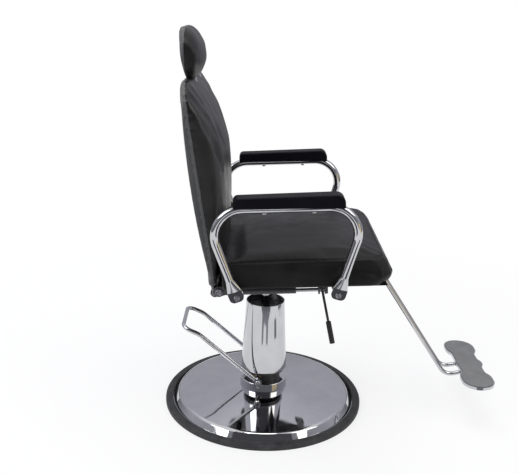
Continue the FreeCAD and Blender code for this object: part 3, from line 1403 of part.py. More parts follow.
def make_release():
    head = piece("release_head", SEAT)
    half = "strut_radius * 1.1"
    low = f"{STRUT_Z} - {half}"
    body_box = box(f"-strut_x - {half}", low, f"-strut_x + {half}", f"{STRUT_Z} + {half}", "2")
    pad(head, "XZ", HEAD_FRONT, HEAD_REAR, body_box)
    slot_side = f"-strut_x + {LEVER_EYE} + 2"
    slot = box(f"-strut_x - {half} - 1", f"{low} - 1", slot_side, f"{STRUT_Z} + {LEVER_EYE} + 1")
    pocket(head, "XZ", f"{LEVER_Y} - {SLOT_HALF}", f"{LEVER_Y} + {SLOT_HALF}", slot)
    pin_hole = ring("-strut_x", STRUT_Z, "lever_pin_radius + seat_gap / 6")
    pocket(head, "XZ", HEAD_FRONT, f"{HEAD_REAR} - 2", pin_hole)

    pin = piece("lever_pin", SEAT)
    pad(pin, "XZ", HEAD_FRONT, f"{HEAD_REAR} - 2", ring("-strut_x", STRUT_Z, "lever_pin_radius"))

    bracket = piece("strut_bracket", SEAT)
    wide = "(strut_radius + 2)"
    low = f"{STRUT_Z} - strut_radius"
    bar_front = f"{FRONT_BAR_Y} - bar_size / 2"
    leg = box(f"-strut_x - {wide}", low, f"-strut_x + {wide}", "-bar_size", "3")
    screw_y = f"({HEAD_FRONT} - bracket_wall + {bar_front}) / 2"
    pad(bracket, "XZ", f"{HEAD_FRONT} - bracket_wall", HEAD_FRONT, leg)
    flange = box(f"-strut_x - {wide}", bar_front, f"-strut_x + {wide}", f"{HEAD_FRONT}")
    screws_x = (f"-strut_x - {wide} + 5", f"-strut_x + {wide} - 5")
    flange_holes = [ring(x, screw_y, "2.5") for x in screws_x]
    pad(bracket, "XY", "-bar_size - bracket_wall", "-bar_size", flange, *flange_holes)

    screws = piece("bracket_screws", SEAT)
    pad(screws, "XY", "-bar_size - bracket_wall", "-bar_size", *[ring(x, screw_y, "2.4") for x in screws_x])
    heads = [ring(x, screw_y, "4.5") for x in screws_x]
    pad(screws, "XY", "-bar_size - bracket_wall - 2.5", "-bar_size - bracket_wall", *heads)

    lever = piece("release_lever", LEVER)
    pad(lever, "XZ", "-lever_radius", "lever_radius", ring("0", "0", LEVER_EYE))
    along_lever(lever, "PartDesign::Pad", "-lever_length", "-lever_pin_radius * 1.6", "lever_radius")
    pocket(lever, "XZ", "-lever_radius * 2", "lever_radius * 2", ring("0", "0", "lever_pin_radius + running"))

    grip = piece("lever_grip", LEVER)
    along_lever(grip, "PartDesign::Pad", "-lever_length - 4", "-lever_length + grip_length", "grip_radius")
    soften(grip, "grip_radius * 0.4", hollow_circle)
    bore_top = "-lever_length + grip_length + 1"
    along_lever(grip, "PartDesign::Pocket", "-lever_length", bore_top, "lever_radius + running")


def along_lever(body, kind, low, high, radius):
    """A round length along the lever's rod, which leans forward from its eye."""
    drawing = sketch(body, "XY", attitude=LEANING.format(low))
    draw_circle(drawing, "0", "0", radius)
    feature = body.newObject(kind, body.Name + "_length")
    feature.Profile = drawing
    feature.setExpression("Length", tied(f"({high}) - ({low})"))
    if kind == "PartDesign::Pocket":
        feature.Reversed = True
    return feature


# Footrest
ROD_Z = "-bar_size - socket_size / 2"
SOCKET_FRONT = f"{FRONT_BAR_Y} - bar_size"
SOCKET_REAR = f"{SOCKET_FRONT} + socket_length"
ROD_REAR = f"{SOCKET_REAR} + rod_tail"
SLOPE = "(rod_slope + seat_tilt)"
KNEE_Y = "-rod_corner"
ANKLE_Y = f"-rod_corner - rod_drop * cos{SLOPE}"
ANKLE_Z = f"{ROD_Z} - rod_drop * sin{SLOPE}"
TOE_Y = f"{ANKLE_Y} - rod_foot * cos(seat_tilt)"
TOE_Z = f"{ANKLE_Z} - rod_foot * sin(seat_tilt)"
DIP_Y = f"-rod_corner - (rod_drop + rod_dip / sin(rod_slope)) * cos{SLOPE}"
DIP_Z = f"{ROD_Z} - (rod_drop + rod_dip / sin(rod_slope)) * sin{SLOPE}"
DIP_RUN = "(rod_dip / tan(rod_slope) + rod_dip / tan(rod_rise))"
HEEL_Y = f"{ANKLE_Y} - {DIP_RUN} * cos(seat_tilt)"
HEEL_Z = f"{ANKLE_Z} - {DIP_RUN} * sin(seat_tilt)"
FOOT_WORLD_Y = f"({ANKLE_Y}) * cos(seat_tilt) + ({ANKLE_Z}) * sin(seat_tilt)"
FOOT_WORLD_Z = f"seat_height - ({ANKLE_Y}) * sin(seat_tilt) + ({ANKLE_Z}) * cos(seat_tilt)"
FOOT = f"placement(vector(0; {FOOT_WORLD_Y}; {FOOT_WORLD_Z}); rotation(vector(1; 0; 0); 0))"


def foot_plate(body, kind, low, high, inset):
    """The foot plate's outline, drawn in by inset, as overlapping lobes and a waist."""
    reach = f"(lobe_half_width - {inset})"
    half = f"(lobe_half_length - {inset})"
    for x in ("lobe_half_pitch", "-lobe_half_pitch"):
        rear = f"-lobe_ahead + {reach}"
        lobe = box(f"{x} - {half}", f"-lobe_ahead - {reach}", f"{x} + {half}", rear, f"{reach} * 0.98")
        kind(body, "XY", low, high, lobe)
    waist = box(
        "-lobe_half_pitch",
        f"-lobe_ahead - waist_front + {inset}",
        "lobe_half_pitch",
        f"-lobe_ahead + waist_rear - {inset}",
    )
    kind(body, "XY", low, high, waist)
    kind(body, "XY", low, high, ring("0", "-lobe_ahead - nose_ahead", f"nose_radius - {inset}"))


def hollow_corner(low, high):
    """Picks the upright edges where the lobes and the bump meet the waist."""
    def choose(edge):
        box_of = edge.BoundBox
        upright = box_of.XLength < 0.01 and box_of.YLength < 0.01 and abs(box_of.ZLength - (high - low)) < 0.01
        return upright and abs(box_of.Center.x) < value("lobe_half_pitch") * 0.8
    return choose


def make_footrest():
    sockets = piece("footrest_sockets", SEAT)
    for side in (-1, 1):
        centre = f"{side} * rod_half_pitch"
        half = "socket_size / 2"
        top = f"{ROD_Z} + {half}"
        square = box(f"{centre} - {half}", f"{ROD_Z} - {half}", f"{centre} + {half}", top, "socket_size / 10")
        pad(sockets, "XZ", SOCKET_FRONT, SOCKET_REAR, square, ring(centre, ROD_Z, "rod_radius + running"))
        screw_y = f"{SOCKET_REAR} - socket_length / 4"
        pocket(sockets, "XY", f"{ROD_Z} - socket_size", ROD_Z, ring(centre, screw_y, "3.1"))

    screws = piece("socket_screws", SEAT)
    places = [f"{side} * rod_half_pitch" for side in (-1, 1)]
    tip = f"{ROD_Z} - rod_radius - seat_gap / 3"
    face = f"{ROD_Z} - socket_size / 2"
    pad(screws, "XY", f"{face} - 3", tip, *[ring(x, screw_y, "3") for x in places])
    pad(screws, "XY", f"{face} - 8", f"{face} - 3", *[hexagon(x, screw_y, "10") for x in places])

    rods = piece("footrest_rods", SEAT)
    for side in (-1, 1):
        x = f"{side} * rod_half_pitch"
        route = (
            (ROD_REAR, ROD_Z),
            (KNEE_Y, ROD_Z, "rod_bend"),
            (DIP_Y, DIP_Z, "rod_bend"),
            (HEEL_Y, HEEL_Z, "rod_bend"),
            (TOE_Y, TOE_Z),
        )
        pipe(rods, "YZ", x, route, f"-({ROD_REAR})", ring(x, ROD_Z, "rod_radius"))

    foot = "rod_radius"
    floor = f"{foot} + tray_wall"
    lip = f"{floor} + tray_lip"
    tray = piece("footrest_tray", FOOT)
    foot_plate(tray, pad, foot, lip, "0")
    soften(tray, "waist_fillet", hollow_corner(value(foot), value(lip)))
    foot_plate(tray, pocket, floor, f"{lip} + 1", "tray_rim")
    soften(tray, "waist_fillet + tray_rim", hollow_corner(value(floor), value(lip)))

    tread = piece("footrest_pad", FOOT)
    foot_plate(tread, pad, floor, f"{floor} + tread_wall", "(tray_rim + seat_gap)")
    soften(tread, "waist_fillet + tray_rim", hollow_corner(0, value("tread_wall")))


make_base()
make_pump()
make_pedal()
make_ram()
make_seat()
make_arms()
make_hinge()
make_back()
make_headrest()
make_strut()
make_footrest()
doc.recompute()


def check_document():
    """Stop if an object failed, a shape is bad or a cut took nothing away."""
    for item in doc.Objects:
        bad = [state for state in item.State if state in ("Invalid", "Error")]
        if bad:
            raise RuntimeError(f"{item.Name}: {item.State} {item.getStatusString()}")
        if item.TypeId in ("PartDesign::Pocket", "PartDesign::Groove"):
            if item.Shape.Volume > item.BaseFeature.Shape.Volume - 1e-3:
                raise RuntimeError(f"{item.Name} cuts nothing")
    for item in PIECES:
        shape = item.Shape
        if shape.isNull() or not shape.isValid() or not shape.Solids:
            raise RuntimeError(f"{item.Label}: no valid solid")


check_document()
os.makedirs("parts", exist_ok=True)
for item in PIECES:
    item.Shape.exportStep(f"parts/{item.Label}.step")
print(len(PIECES), "pieces written")
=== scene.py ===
# %% [markdown]
# Reclining barber chair
#
# This chair stands on a chromed pump, tips back at a hinge behind its seat, and
# carries three upholstered cushions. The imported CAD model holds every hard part
# in its real place, so this lesson loads it as a fixed frame, gives each part
# the finish that its real twin has, and rebuilds what is soft. The frame's box
# is kept, because the finished model may stand only a little outside it.

# %% Load the frame
import json
import math

import bmesh
import bpy
import numpy as np
from mathutils import Matrix, Vector
from mathutils.bvhtree import BVHTree
from mathutils.kdtree import KDTree


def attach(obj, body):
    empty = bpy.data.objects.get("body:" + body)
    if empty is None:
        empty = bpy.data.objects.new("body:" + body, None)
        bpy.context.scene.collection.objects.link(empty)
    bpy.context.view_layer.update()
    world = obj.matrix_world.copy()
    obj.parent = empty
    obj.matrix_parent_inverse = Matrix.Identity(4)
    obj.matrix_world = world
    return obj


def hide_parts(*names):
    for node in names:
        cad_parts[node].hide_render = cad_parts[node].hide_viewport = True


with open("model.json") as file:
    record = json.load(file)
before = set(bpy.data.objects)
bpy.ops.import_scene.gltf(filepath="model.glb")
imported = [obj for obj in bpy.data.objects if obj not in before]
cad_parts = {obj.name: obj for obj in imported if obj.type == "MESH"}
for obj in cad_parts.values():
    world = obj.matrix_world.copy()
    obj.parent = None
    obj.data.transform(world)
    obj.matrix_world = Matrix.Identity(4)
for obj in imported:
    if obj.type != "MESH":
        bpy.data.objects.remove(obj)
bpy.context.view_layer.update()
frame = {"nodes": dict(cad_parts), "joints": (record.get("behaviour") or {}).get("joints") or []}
scene = bpy.context.scene
scene.view_settings.view_transform = "Standard"

# %% [markdown]
# Camera
#
# A picture of an object is easiest to compare when the camera stands where the
# photographer stood. The place, the tilt and the slight roll were worked out
# from the round base, the upright pump and the level arms, so they are written
# here as numbers. A camera that is tracked to a target would be quicker to set
# up, but it cannot roll.

# %% Place the camera
CAMERA_PLACE = Vector((-2.0036, 0.0292, 1.1378))
CAMERA_TURN = math.radians(-0.158)
CAMERA_DOWN = math.radians(17.546)
CAMERA_ROLL = math.radians(1.472)
SENSOR_WIDTH = 36
FRAME_WIDTH = 518
FOCAL_PIXELS = 745.1

camera_data = bpy.data.cameras.new("camera")
camera_data.sensor_width = SENSOR_WIDTH
camera_data.lens = SENSOR_WIDTH * FOCAL_PIXELS / FRAME_WIDTH
camera = bpy.data.objects.new("camera", camera_data)
scene.collection.objects.link(camera)
scene.camera = camera
forward = Vector((
    math.cos(CAMERA_DOWN) * math.cos(CAMERA_TURN),
    math.cos(CAMERA_DOWN) * math.sin(CAMERA_TURN),
    -math.sin(CAMERA_DOWN),
))
level_right = forward.cross(Vector((0, 0, 1))).normalized()
level_up = level_right.cross(forward)
right = level_right * math.cos(CAMERA_ROLL) + level_up * math.sin(CAMERA_ROLL)
up = level_up * math.cos(CAMERA_ROLL) - level_right * math.sin(CAMERA_ROLL)
facing = Matrix((right, up, -forward)).transposed().to_4x4()
camera.matrix_world = Matrix.Translation(CAMERA_PLACE) @ facing
print("lens:", round(camera_data.lens, 2), "mm")

# %% [markdown]
# Leaning frames
#
# The seat tips back a little and the backrest leans more, so each is easier to
# shape in a frame that leans with it. There x runs across the chair, y to the
# rear, and z up along the piece. The seat's frame starts on the pump's axis, at
# the underside of the seat board. The backrest's starts at the recline hinge,
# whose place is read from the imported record.

# %% Leaning frames
SEAT_HEIGHT = 0.444
SEAT_TILT = math.radians(3.1)
BACK_LEAN = math.radians(9)

recline = next(joint for joint in frame["joints"] if joint["name"] == "recline")
seat_frame = Matrix.Translation((0, 0, SEAT_HEIGHT)) @ Matrix.Rotation(-SEAT_TILT, 4, "X")
back_frame = Matrix.Translation(recline["pos_m"]) @ Matrix.Rotation(-BACK_LEAN, 4, "X")
print("recline hinge:", recline["pos_m"])

# %% [markdown]
# Wiring a finish
#
# A finish is a small network of shader nodes. Wiring each by hand takes many
# lines, so one helper makes a node, sets its options, and either fills a socket
# or links it, depending on what it is given. Every pattern below is measured in
# metres on the piece itself, so a grain of one millimetre is written 0.001.

# %% Node helpers
def add_node(tree, kind, sockets=None, **options):
    """A shader node; a socket is given a value, or another node's output."""
    made = tree.nodes.new("ShaderNode" + kind)
    for name, option in options.items():
        setattr(made, name, option)
    for name, given in (sockets or {}).items():
        if isinstance(given, bpy.types.NodeSocket):
            tree.links.new(given, made.inputs[name])
        else:
            made.inputs[name].default_value = given
    return made


def on_piece(tree):
    """The place on the piece, in metres."""
    return add_node(tree, "TexCoord").outputs["Object"]


def lumps(tree, size, detail=2.0, stretch=(1, 1, 1)):
    """Noise on the piece, in lumps about size metres across."""
    scaled = add_node(tree, "Mapping", {"Vector": on_piece(tree), "Scale": stretch})
    noise = add_node(tree, "TexNoise", {"Vector": scaled.outputs[0], "Scale": 1 / size, "Detail": detail})
    return noise.outputs[0]


def pebbles(tree, size):
    """Rounded cells on the piece, as in embossed leather, size metres across."""
    cells = add_node(tree, "TexVoronoi", {"Vector": on_piece(tree), "Scale": 1 / size}, feature="SMOOTH_F1")
    return cells.outputs["Distance"]


def combined(tree, operation, first, second):
    """Two values put together by a sum, a product or the like."""
    return add_node(tree, "Math", {0: first, 1: second}, operation=operation).outputs[0]


def spread(tree, source, low, high, start=0.3, stop=0.7):
    """Turn start..stop of a pattern into low..high."""
    limits = {"Value": source, "From Min": start, "From Max": stop, "To Min": low, "To Max": high}
    return add_node(tree, "MapRange", limits).outputs[0]


def mixed(tree, share, first, second):
    """A colour that turns from the first to the second as share goes from 0 to 1."""
    return add_node(tree, "Mix", {0: share, 6: first, 7: second}, data_type="RGBA").outputs[2]


def tints(tree, source, dark, light, start=0.3, stop=0.7):
    """A colour from dark to light along a pattern."""
    return mixed(tree, spread(tree, source, 0, 1, start, stop), (*dark, 1), (*light, 1))


def relief(tree, pattern, depth, under=None):
    """Raise the surface by depth metres where the pattern is bright."""
    bump = add_node(tree, "Bump", {"Height": pattern, "Distance": depth})
    if under:
        tree.links.new(under, bump.inputs["Normal"])
    return bump.outputs[0]


def start_finish(name, **constants):
    """A material with its shader's own sockets set; returns it, its tree and its shader."""
    material = bpy.data.materials.new(name)
    material.use_nodes = True
    tree = material.node_tree
    shader = tree.nodes["Principled BSDF"]
    for socket, given in constants.items():
        shader.inputs[socket.replace("_", " ").title().replace("Ior", "IOR")].default_value = given
    return material, tree, shader


def plug(tree, shader, **sources):
    """Link patterns to the shader's sockets."""
    for socket, source in sources.items():
        tree.links.new(source, shader.inputs[socket.replace("_", " ").title()])


print("node helpers ready")

# %% [markdown]
# Chrome
#
# Plated steel is a mirror that is never perfect: the sheet waves a little where
# it was spun or bent, and handling leaves faint smudges. The waves are shallow
# relief, and the smudges change the roughness by a few hundredths. Chrome plate
# gives back a little over half of the light, so its colour is a middle grey.

# %% Chrome
def make_chrome():
    material, tree, shader = start_finish("plated_chrome", metallic=1.0)
    smudge = lumps(tree, size=0.05, detail=4)
    colour = tints(tree, smudge, dark=(0.53, 0.535, 0.56), light=(0.59, 0.59, 0.61))
    shine = spread(tree, smudge, low=0.04, high=0.09, start=0.4, stop=0.75)
    wave = relief(tree, lumps(tree, size=0.045, detail=1), depth=0.00015)
    plug(tree, shader, base_color=colour, roughness=shine, normal=wave)
    return material


# %% [markdown]
# Painted, plated and bare steel
#
# The brackets, bars and lever are satin black. Paint sits on the steel in a
# slightly uneven coat, which the eye reads as orange peel, and it wears pale at
# edges. Bolts are zinc plated, and the bushes are plain bronze.

# %% Hard finishes
WORN_EDGE = (0.09, 0.09, 0.095, 1)


def make_paint():
    material, tree, shader = start_finish("satin_black_paint", specular_ior_level=0.5)
    patch = lumps(tree, size=0.03, detail=3)
    colour = tints(tree, patch, dark=(0.012, 0.012, 0.013), light=(0.022, 0.022, 0.024))
    edge = add_node(tree, "NewGeometry").outputs["Pointiness"]
    worn = spread(tree, edge, low=0, high=0.6, start=0.53, stop=0.6)
    colour = mixed(tree, worn, colour, WORN_EDGE)
    shine = spread(tree, patch, low=0.34, high=0.5)
    peel = relief(tree, lumps(tree, size=0.0018, detail=1), depth=0.00004)
    plug(tree, shader, base_color=colour, roughness=shine, normal=peel)
    return material


def make_plated(name, dark, light, smooth, rough):
    """Zinc, bronze and bare steel differ only in colour and shine."""
    material, tree, shader = start_finish(name, metallic=1.0)
    mottle = lumps(tree, size=0.006, detail=4)
    colour = tints(tree, mottle, dark, light)
    shine = spread(tree, mottle, smooth, rough)
    brush = relief(tree, lumps(tree, size=0.0012, detail=2, stretch=(0.08, 1, 1)), depth=0.00002)
    plug(tree, shader, base_color=colour, roughness=shine, normal=brush)
    return material


def make_nylon():
    material, tree, shader = start_finish("black_nylon", specular_ior_level=0.4)
    patch = lumps(tree, size=0.012, detail=2)
    colour = tints(tree, patch, dark=(0.014, 0.014, 0.015), light=(0.024, 0.024, 0.025))
    shine = spread(tree, patch, low=0.5, high=0.64)
    fine = relief(tree, lumps(tree, size=0.0008, detail=2), depth=0.00006)
    plug(tree, shader, base_color=colour, roughness=shine, normal=fine)
    return material


# %% [markdown]
# Rubber and plywood
#
# The ring under the base is moulded rubber: dull, very slightly pitted, and
# greyed by floor dust. The tread of the foot plate is a lighter rubber mat with
# a fine gritty face. The boards inside the cushions are raw plywood.

# %% Rubber and wood
def make_rubber():
    material, tree, shader = start_finish("edge_rubber", specular_ior_level=0.35)
    dust = lumps(tree, size=0.025, detail=5)
    colour = tints(tree, dust, dark=(0.02, 0.02, 0.022), light=(0.05, 0.05, 0.052))
    shine = spread(tree, dust, low=0.5, high=0.72)
    pits = relief(tree, lumps(tree, size=0.0011, detail=2), depth=0.0001)
    plug(tree, shader, base_color=colour, roughness=shine, normal=pits)
    return material


def make_tread():
    material, tree, shader = start_finish("foot_tread", specular_ior_level=0.35)
    patch = lumps(tree, size=0.03, detail=4)
    grit = lumps(tree, size=0.0012, detail=3)
    colour = tints(tree, patch, dark=(0.16, 0.16, 0.164), light=(0.2, 0.2, 0.204))
    shine = spread(tree, grit, low=0.55, high=0.8)
    plug(tree, shader, base_color=colour, roughness=shine, normal=relief(tree, grit, depth=0.00025))
    return material


def make_plywood():
    material, tree, shader = start_finish("raw_plywood", roughness=0.75)
    figure = lumps(tree, size=0.01, detail=5, stretch=(1, 0.08, 1))
    colour = tints(tree, figure, dark=(0.36, 0.23, 0.12), light=(0.56, 0.4, 0.24))
    fibre = relief(tree, lumps(tree, size=0.0015, detail=3, stretch=(1, 0.05, 1)), depth=0.0001)
    plug(tree, shader, base_color=colour, normal=fibre)
    return material


# %% [markdown]
# Vinyl
#
# The covers are black vinyl with a shallow embossed grain. Stretched over foam
# it stays smooth, with slow undulations that break up the highlights, and its
# low gloss turns a soft light into the broad grey sheen of the real covers. The
# grain is a relief of rounded cells a little over a millimetre across.
#
# On the back and the headrest, a paler vinyl is sewn on behind the side seam.
# Its tone is also painted lighter than the rear panel's grey of the same vinyl,
# as painted light on the shaded side strip.
# It could be a piece of its own, but then its edge would have to be cut out of
# the swollen cover. One finish with two tones, split by the seam's plane, needs
# no cut, and a slight wander of the line looks sewn.

# %% Vinyl
SLOW_STRETCH = (1, 1, 0.35)
SEAM_WANDER = 0.0007
SEAM_BLUR = 0.0002
# Paler vinyl behind the side seam: partly its own two-tone colour, partly painted light, lighter than the
# rear panel's grey of the same vinyl.
PALE_VINYL_WITH_PAINTED_LIGHT = (0.085, 0.085, 0.087, 1)
BLACK_VINYL = {
    "dark": (0.006, 0.006, 0.0063),
    "light": (0.011, 0.011, 0.0115),
    "smooth": 0.34,
    "rough": 0.46,
}
GREY_VINYL = {
    "dark": (0.058, 0.058, 0.06),
    "light": (0.07, 0.07, 0.072),
    "smooth": 0.42,
    "rough": 0.54,
}


def seam_plane(depth, slope=0.0, height=0.0):
    """A plane of the backrest's frame, as a direction and a distance in the room.

    At the given height it lies at depth behind the hinge. Below that, it runs back by slope metres a metre.
    """
    direction = back_frame.to_3x3() @ Vector((0, 1, slope))
    return direction, direction.dot(back_frame.translation) + depth + slope * height


def behind_seam(tree, plane):
    """0 ahead of the seam's plane and 1 behind it."""
    direction, distance = plane
    reach = add_node(tree, "VectorMath", {0: on_piece(tree), 1: direction}, operation="DOT_PRODUCT")
    wander = spread(tree, lumps(tree, size=0.018, detail=2), low=-SEAM_WANDER, high=SEAM_WANDER)
    edge = combined(tree, "ADD", reach.outputs["Value"], wander)
    return spread(tree, edge, low=0, high=1, start=distance - SEAM_BLUR, stop=distance + SEAM_BLUR)


def make_vinyl(name, dark, light, smooth, rough, gloss=0.24, seam=None):
    """Vinyl; behind the plane of a seam, where one is given, it is pale: a paler vinyl, lifted further by
    painted light.
    """
    material, tree, shader = start_finish(name, specular_ior_level=gloss)
    patch = lumps(tree, size=0.06, detail=3)
    colour = tints(tree, patch, dark, light)
    if seam:
        # Behind the seam the colour turns paler: the real paler vinyl, lifted further as painted light.
        colour = mixed(tree, behind_seam(tree, seam), colour, PALE_VINYL_WITH_PAINTED_LIGHT)
    shine = spread(tree, patch, smooth, rough)
    slow = relief(tree, lumps(tree, size=0.05, detail=1, stretch=SLOW_STRETCH), depth=0.0025)
    fold = relief(tree, lumps(tree, size=0.012, detail=3, stretch=SLOW_STRETCH), depth=0.0002, under=slow)
    grain = relief(tree, pebbles(tree, size=0.0014), depth=0.00009, under=fold)
    plug(tree, shader, base_color=colour, roughness=shine, normal=grain)
    return material


# %% [markdown]
# Arm pads
#
# The pads are moulded in one with their skin, which is a deeper black than the
# covers, smooth, and so dull that it shows hardly any of the lamps.

# %% Moulded pads
def make_pad_skin():
    material, tree, shader = start_finish("moulded_pad", specular_ior_level=0.1)
    patch = lumps(tree, size=0.05, detail=3)
    colour = tints(tree, patch, dark=(0.0025, 0.0022, 0.0045), light=(0.0045, 0.004, 0.007))
    shine = spread(tree, patch, low=0.42, high=0.52)
    skin = relief(tree, lumps(tree, size=0.0016, detail=2), depth=0.00003)
    plug(tree, shader, base_color=colour, roughness=shine, normal=skin)
    return material


# %% [markdown]
# Dressing the CAD parts
#
# Each part of the frame names the slot that its finish belongs to, so one table
# from slot to material dresses all of them. The seam of the back is upright in
# the backrest's frame, and that of the headrest runs forward on its way up.

# %% Assign the finishes
BACK_SEAM_DEPTH = 0.0043
HEAD_SEAM_DEPTH = -0.0053
HEAD_SEAM_HEIGHT = 0.65
HEAD_SEAM_RUN = 0.0154
HEAD_SEAM_RISE = 0.109

back_seam = seam_plane(BACK_SEAM_DEPTH)
head_seam = seam_plane(HEAD_SEAM_DEPTH, HEAD_SEAM_RUN / HEAD_SEAM_RISE, HEAD_SEAM_HEIGHT)
finishes = {
    "chrome": make_chrome(),
    "black_paint": make_paint(),
    "steel_arms": make_plated("bare_steel", (0.3, 0.3, 0.31), (0.45, 0.45, 0.46), smooth=0.3, rough=0.45),
    "zinc": make_plated("zinc_plate", (0.48, 0.48, 0.5), (0.66, 0.66, 0.67), smooth=0.2, rough=0.36),
    "bronze": make_plated("plain_bronze", (0.42, 0.27, 0.1), (0.62, 0.44, 0.2), smooth=0.28, rough=0.42),
    "nylon": make_nylon(),
    "rubber": make_rubber(),
    "tread_rubber": make_tread(),
    "plywood": make_plywood(),
    "vinyl": make_vinyl("black_vinyl", **BLACK_VINYL),
    "back_vinyl": make_vinyl("back_vinyl", **BLACK_VINYL, gloss=0.5, seam=back_seam),
    "head_vinyl": make_vinyl("head_vinyl", **BLACK_VINYL, gloss=0.3, seam=head_seam),
    "grey_vinyl": make_vinyl("rear_vinyl", **GREY_VINYL),
    "arm_pad": make_pad_skin(),
}
for part in frame["nodes"].values():
    for index, old in enumerate(part.data.materials):
        part.data.materials[index] = finishes[old.name]
print("finishes:", len(finishes))

# %% [markdown]
# Cushion forms
#
# A cushion is foam under a tight cover. A plain block with rounded edges looks
# hard, because a real cover is pulled down at its seams and swells between
# them. So each cushion starts as a copy of its CAD form, remeshed into an even
# net, whose points are then moved by rules that say where the foam bulges.

# %% Nets over the CAD forms
VOXEL = 0.006
WELD = 0.00002


def coordinates(mesh):
    """The mesh's points as rows of x, y, z."""
    flat = np.empty(len(mesh.vertices) * 3)
    mesh.vertices.foreach_get("co", flat)
    return flat.reshape(-1, 3)


def place_points(mesh, points):
    """Put the mesh's points at these rows."""
    mesh.vertices.foreach_set("co", points.reshape(-1))
    mesh.update()


def normals(mesh):
    """The mesh's point normals as rows."""
    flat = np.empty(len(mesh.vertices) * 3)
    mesh.vertices.foreach_get("normal", flat)
    return flat.reshape(-1, 3)


def within(points, home):
    """Points of the room, measured in a leaning frame."""
    turned = np.array(home.inverted())
    return points @ turned[:3, :3].T + turned[:3, 3]


def reshape(piece, home, rule):
    """Move the net's points by a rule that is written in a leaning frame."""
    turned = np.array(home)
    moved = rule(within(coordinates(piece.data), home))
    place_points(piece.data, moved @ turned[:3, :3].T + turned[:3, 3])


def rising(distance, length):
    """From 0 to 1 as a distance goes from 0 to length."""
    return np.clip(distance / length, 0, 1)


def net_of(node, name):
    """An even net over a copy of a CAD piece."""
    mesh = frame["nodes"][node].data.copy()
    mesh.name = name
    form = bmesh.new()
    form.from_mesh(mesh)
    bmesh.ops.remove_doubles(form, verts=form.verts, dist=WELD)
    form.to_mesh(mesh)
    form.free()
    piece = bpy.data.objects.new(name, mesh)
    scene.collection.objects.link(piece)
    bpy.context.view_layer.objects.active = piece
    mesh.remesh_voxel_size = VOXEL
    mesh.use_remesh_preserve_volume = True
    bpy.ops.object.voxel_remesh()
    piece.data.polygons.foreach_set("use_smooth", [True] * len(piece.data.polygons))
    return piece


# %% [markdown]
# Smoothing
#
# Remeshing leaves steps as wide as a voxel, and a ridge where two faces of the
# CAD form met. Blender's Smooth modifier would take them away and shrink the
# cushion with them. Here each draw towards the neighbouring points is followed
# by a push away, slightly stronger, so the cushion keeps its size.

# %% Relax a net
DRAW_IN = 0.5
PUSH_OUT = -0.52


def relax(piece, free, rounds):
    """Even out steps and ridges where the net is free."""
    mesh = piece.data
    points = coordinates(mesh)
    ends = np.empty(len(mesh.edges) * 2, int)
    mesh.edges.foreach_get("vertices", ends)
    first, second = ends.reshape(-1, 2).T
    count = np.bincount(ends, minlength=len(points))[:, None]
    for turn in range(rounds):
        for pull in (DRAW_IN, PUSH_OUT):
            total = np.empty_like(points)
            for axis in range(3):
                total[:, axis] = np.bincount(first, points[second, axis], len(points))
                total[:, axis] += np.bincount(second, points[first, axis], len(points))
            points += (total / count - points) * pull * free[:, None]
    place_points(mesh, points)


# %% [markdown]
# Air
#
# The swell of a full cushion comes from cloth with air inside: Blender's Cloth
# with pressure and without gravity. The form is drawn in a little first, so it
# ends near its real size, and no point may travel further than a cap. The side
# that lies on its board is held still. The modifier is taken off at the end,
# and one smooth split of the faces hides the net.

# %% Swell and refine a net
AIR_PRESSURE = 4
AIR_FRAMES = 20
CLOTH_QUALITY = 6
STRETCH_STIFFNESS = 25
BEND_STIFFNESS = 2
FULLY_FREE = 0.99


def swell(piece, free, shrink, cap):
    """Draw the form in by shrink, blow it up as cloth, and let no point pass cap."""
    mesh = piece.data
    points = coordinates(mesh) - normals(mesh) * (shrink * free)[:, None]
    place_points(mesh, points)
    held = piece.vertex_groups.new(name="held")
    for index in np.flatnonzero(free < FULLY_FREE):
        held.add([int(index)], 1 - float(free[index]), "REPLACE")
    cloth = piece.modifiers.new("air", "CLOTH")
    cloth.settings.quality = CLOTH_QUALITY
    cloth.settings.use_pressure = True
    cloth.settings.uniform_pressure_force = AIR_PRESSURE
    cloth.settings.vertex_group_mass = "held"
    cloth.settings.effector_weights.gravity = 0
    cloth.settings.tension_stiffness = STRETCH_STIFFNESS
    cloth.settings.compression_stiffness = STRETCH_STIFFNESS
    cloth.settings.bending_stiffness = BEND_STIFFNESS
    cloth.point_cache.frame_start = 1
    cloth.point_cache.frame_end = AIR_FRAMES
    for step in range(1, AIR_FRAMES + 1):
        scene.frame_set(step)
    blown = piece.evaluated_get(bpy.context.evaluated_depsgraph_get())
    moved = coordinates(blown.data) - points
    piece.modifiers.remove(cloth)
    scene.frame_set(1)
    reach = np.linalg.norm(moved, axis=1)
    keep = np.minimum(1, cap / np.maximum(reach, 1e-9))
    place_points(mesh, points + moved * keep[:, None])
    print(piece.name, "points:", len(points), "swelled by", round(float(reach.max()) * 1000, 1), "mm")


def refine(piece):
    """Split every face of the net once, smoothly."""
    finer = piece.modifiers.new("finer", "SUBSURF")
    finer.levels = 1
    finer.render_levels = 1
    bpy.context.view_layer.objects.active = piece
    bpy.ops.object.modifier_apply(modifier="finer")


# %% [markdown]
# Seams
#
# A seam is where the cover is sewn through and pulled into the foam. Its line
# is found on the finished cushion: rays are sent inwards from points round it,
# all in the seam's plane, and where they land the cover is pressed in. The line
# could be drawn by hand, but this one follows the swollen surface, and small
# gathers that run off it make it look sewn. The gathers are two waves along the
# seam, given in radians a metre.

# %% Seam helpers
RAYS = 360
RAY_START = 1.1
RAY_END = 0.15
SEAM_STEP = 0.006
SEAM_REACH = 5
GATHER_REACH = 2.4
CLOSE_GATHERS = 420
WIDE_GATHERS = 265


def evened(places, spacing):
    """A line through these places, with a point every spacing metres."""
    run = np.cumsum([0.0] + [(after - before).length for before, after in zip(places, places[1:])])
    marks = np.linspace(0, run[-1], max(4, int(run[-1] / spacing)))
    rows = np.array(places)
    return [Vector([np.interp(mark, run, rows[:, axis]) for axis in range(3)]) for mark in marks]


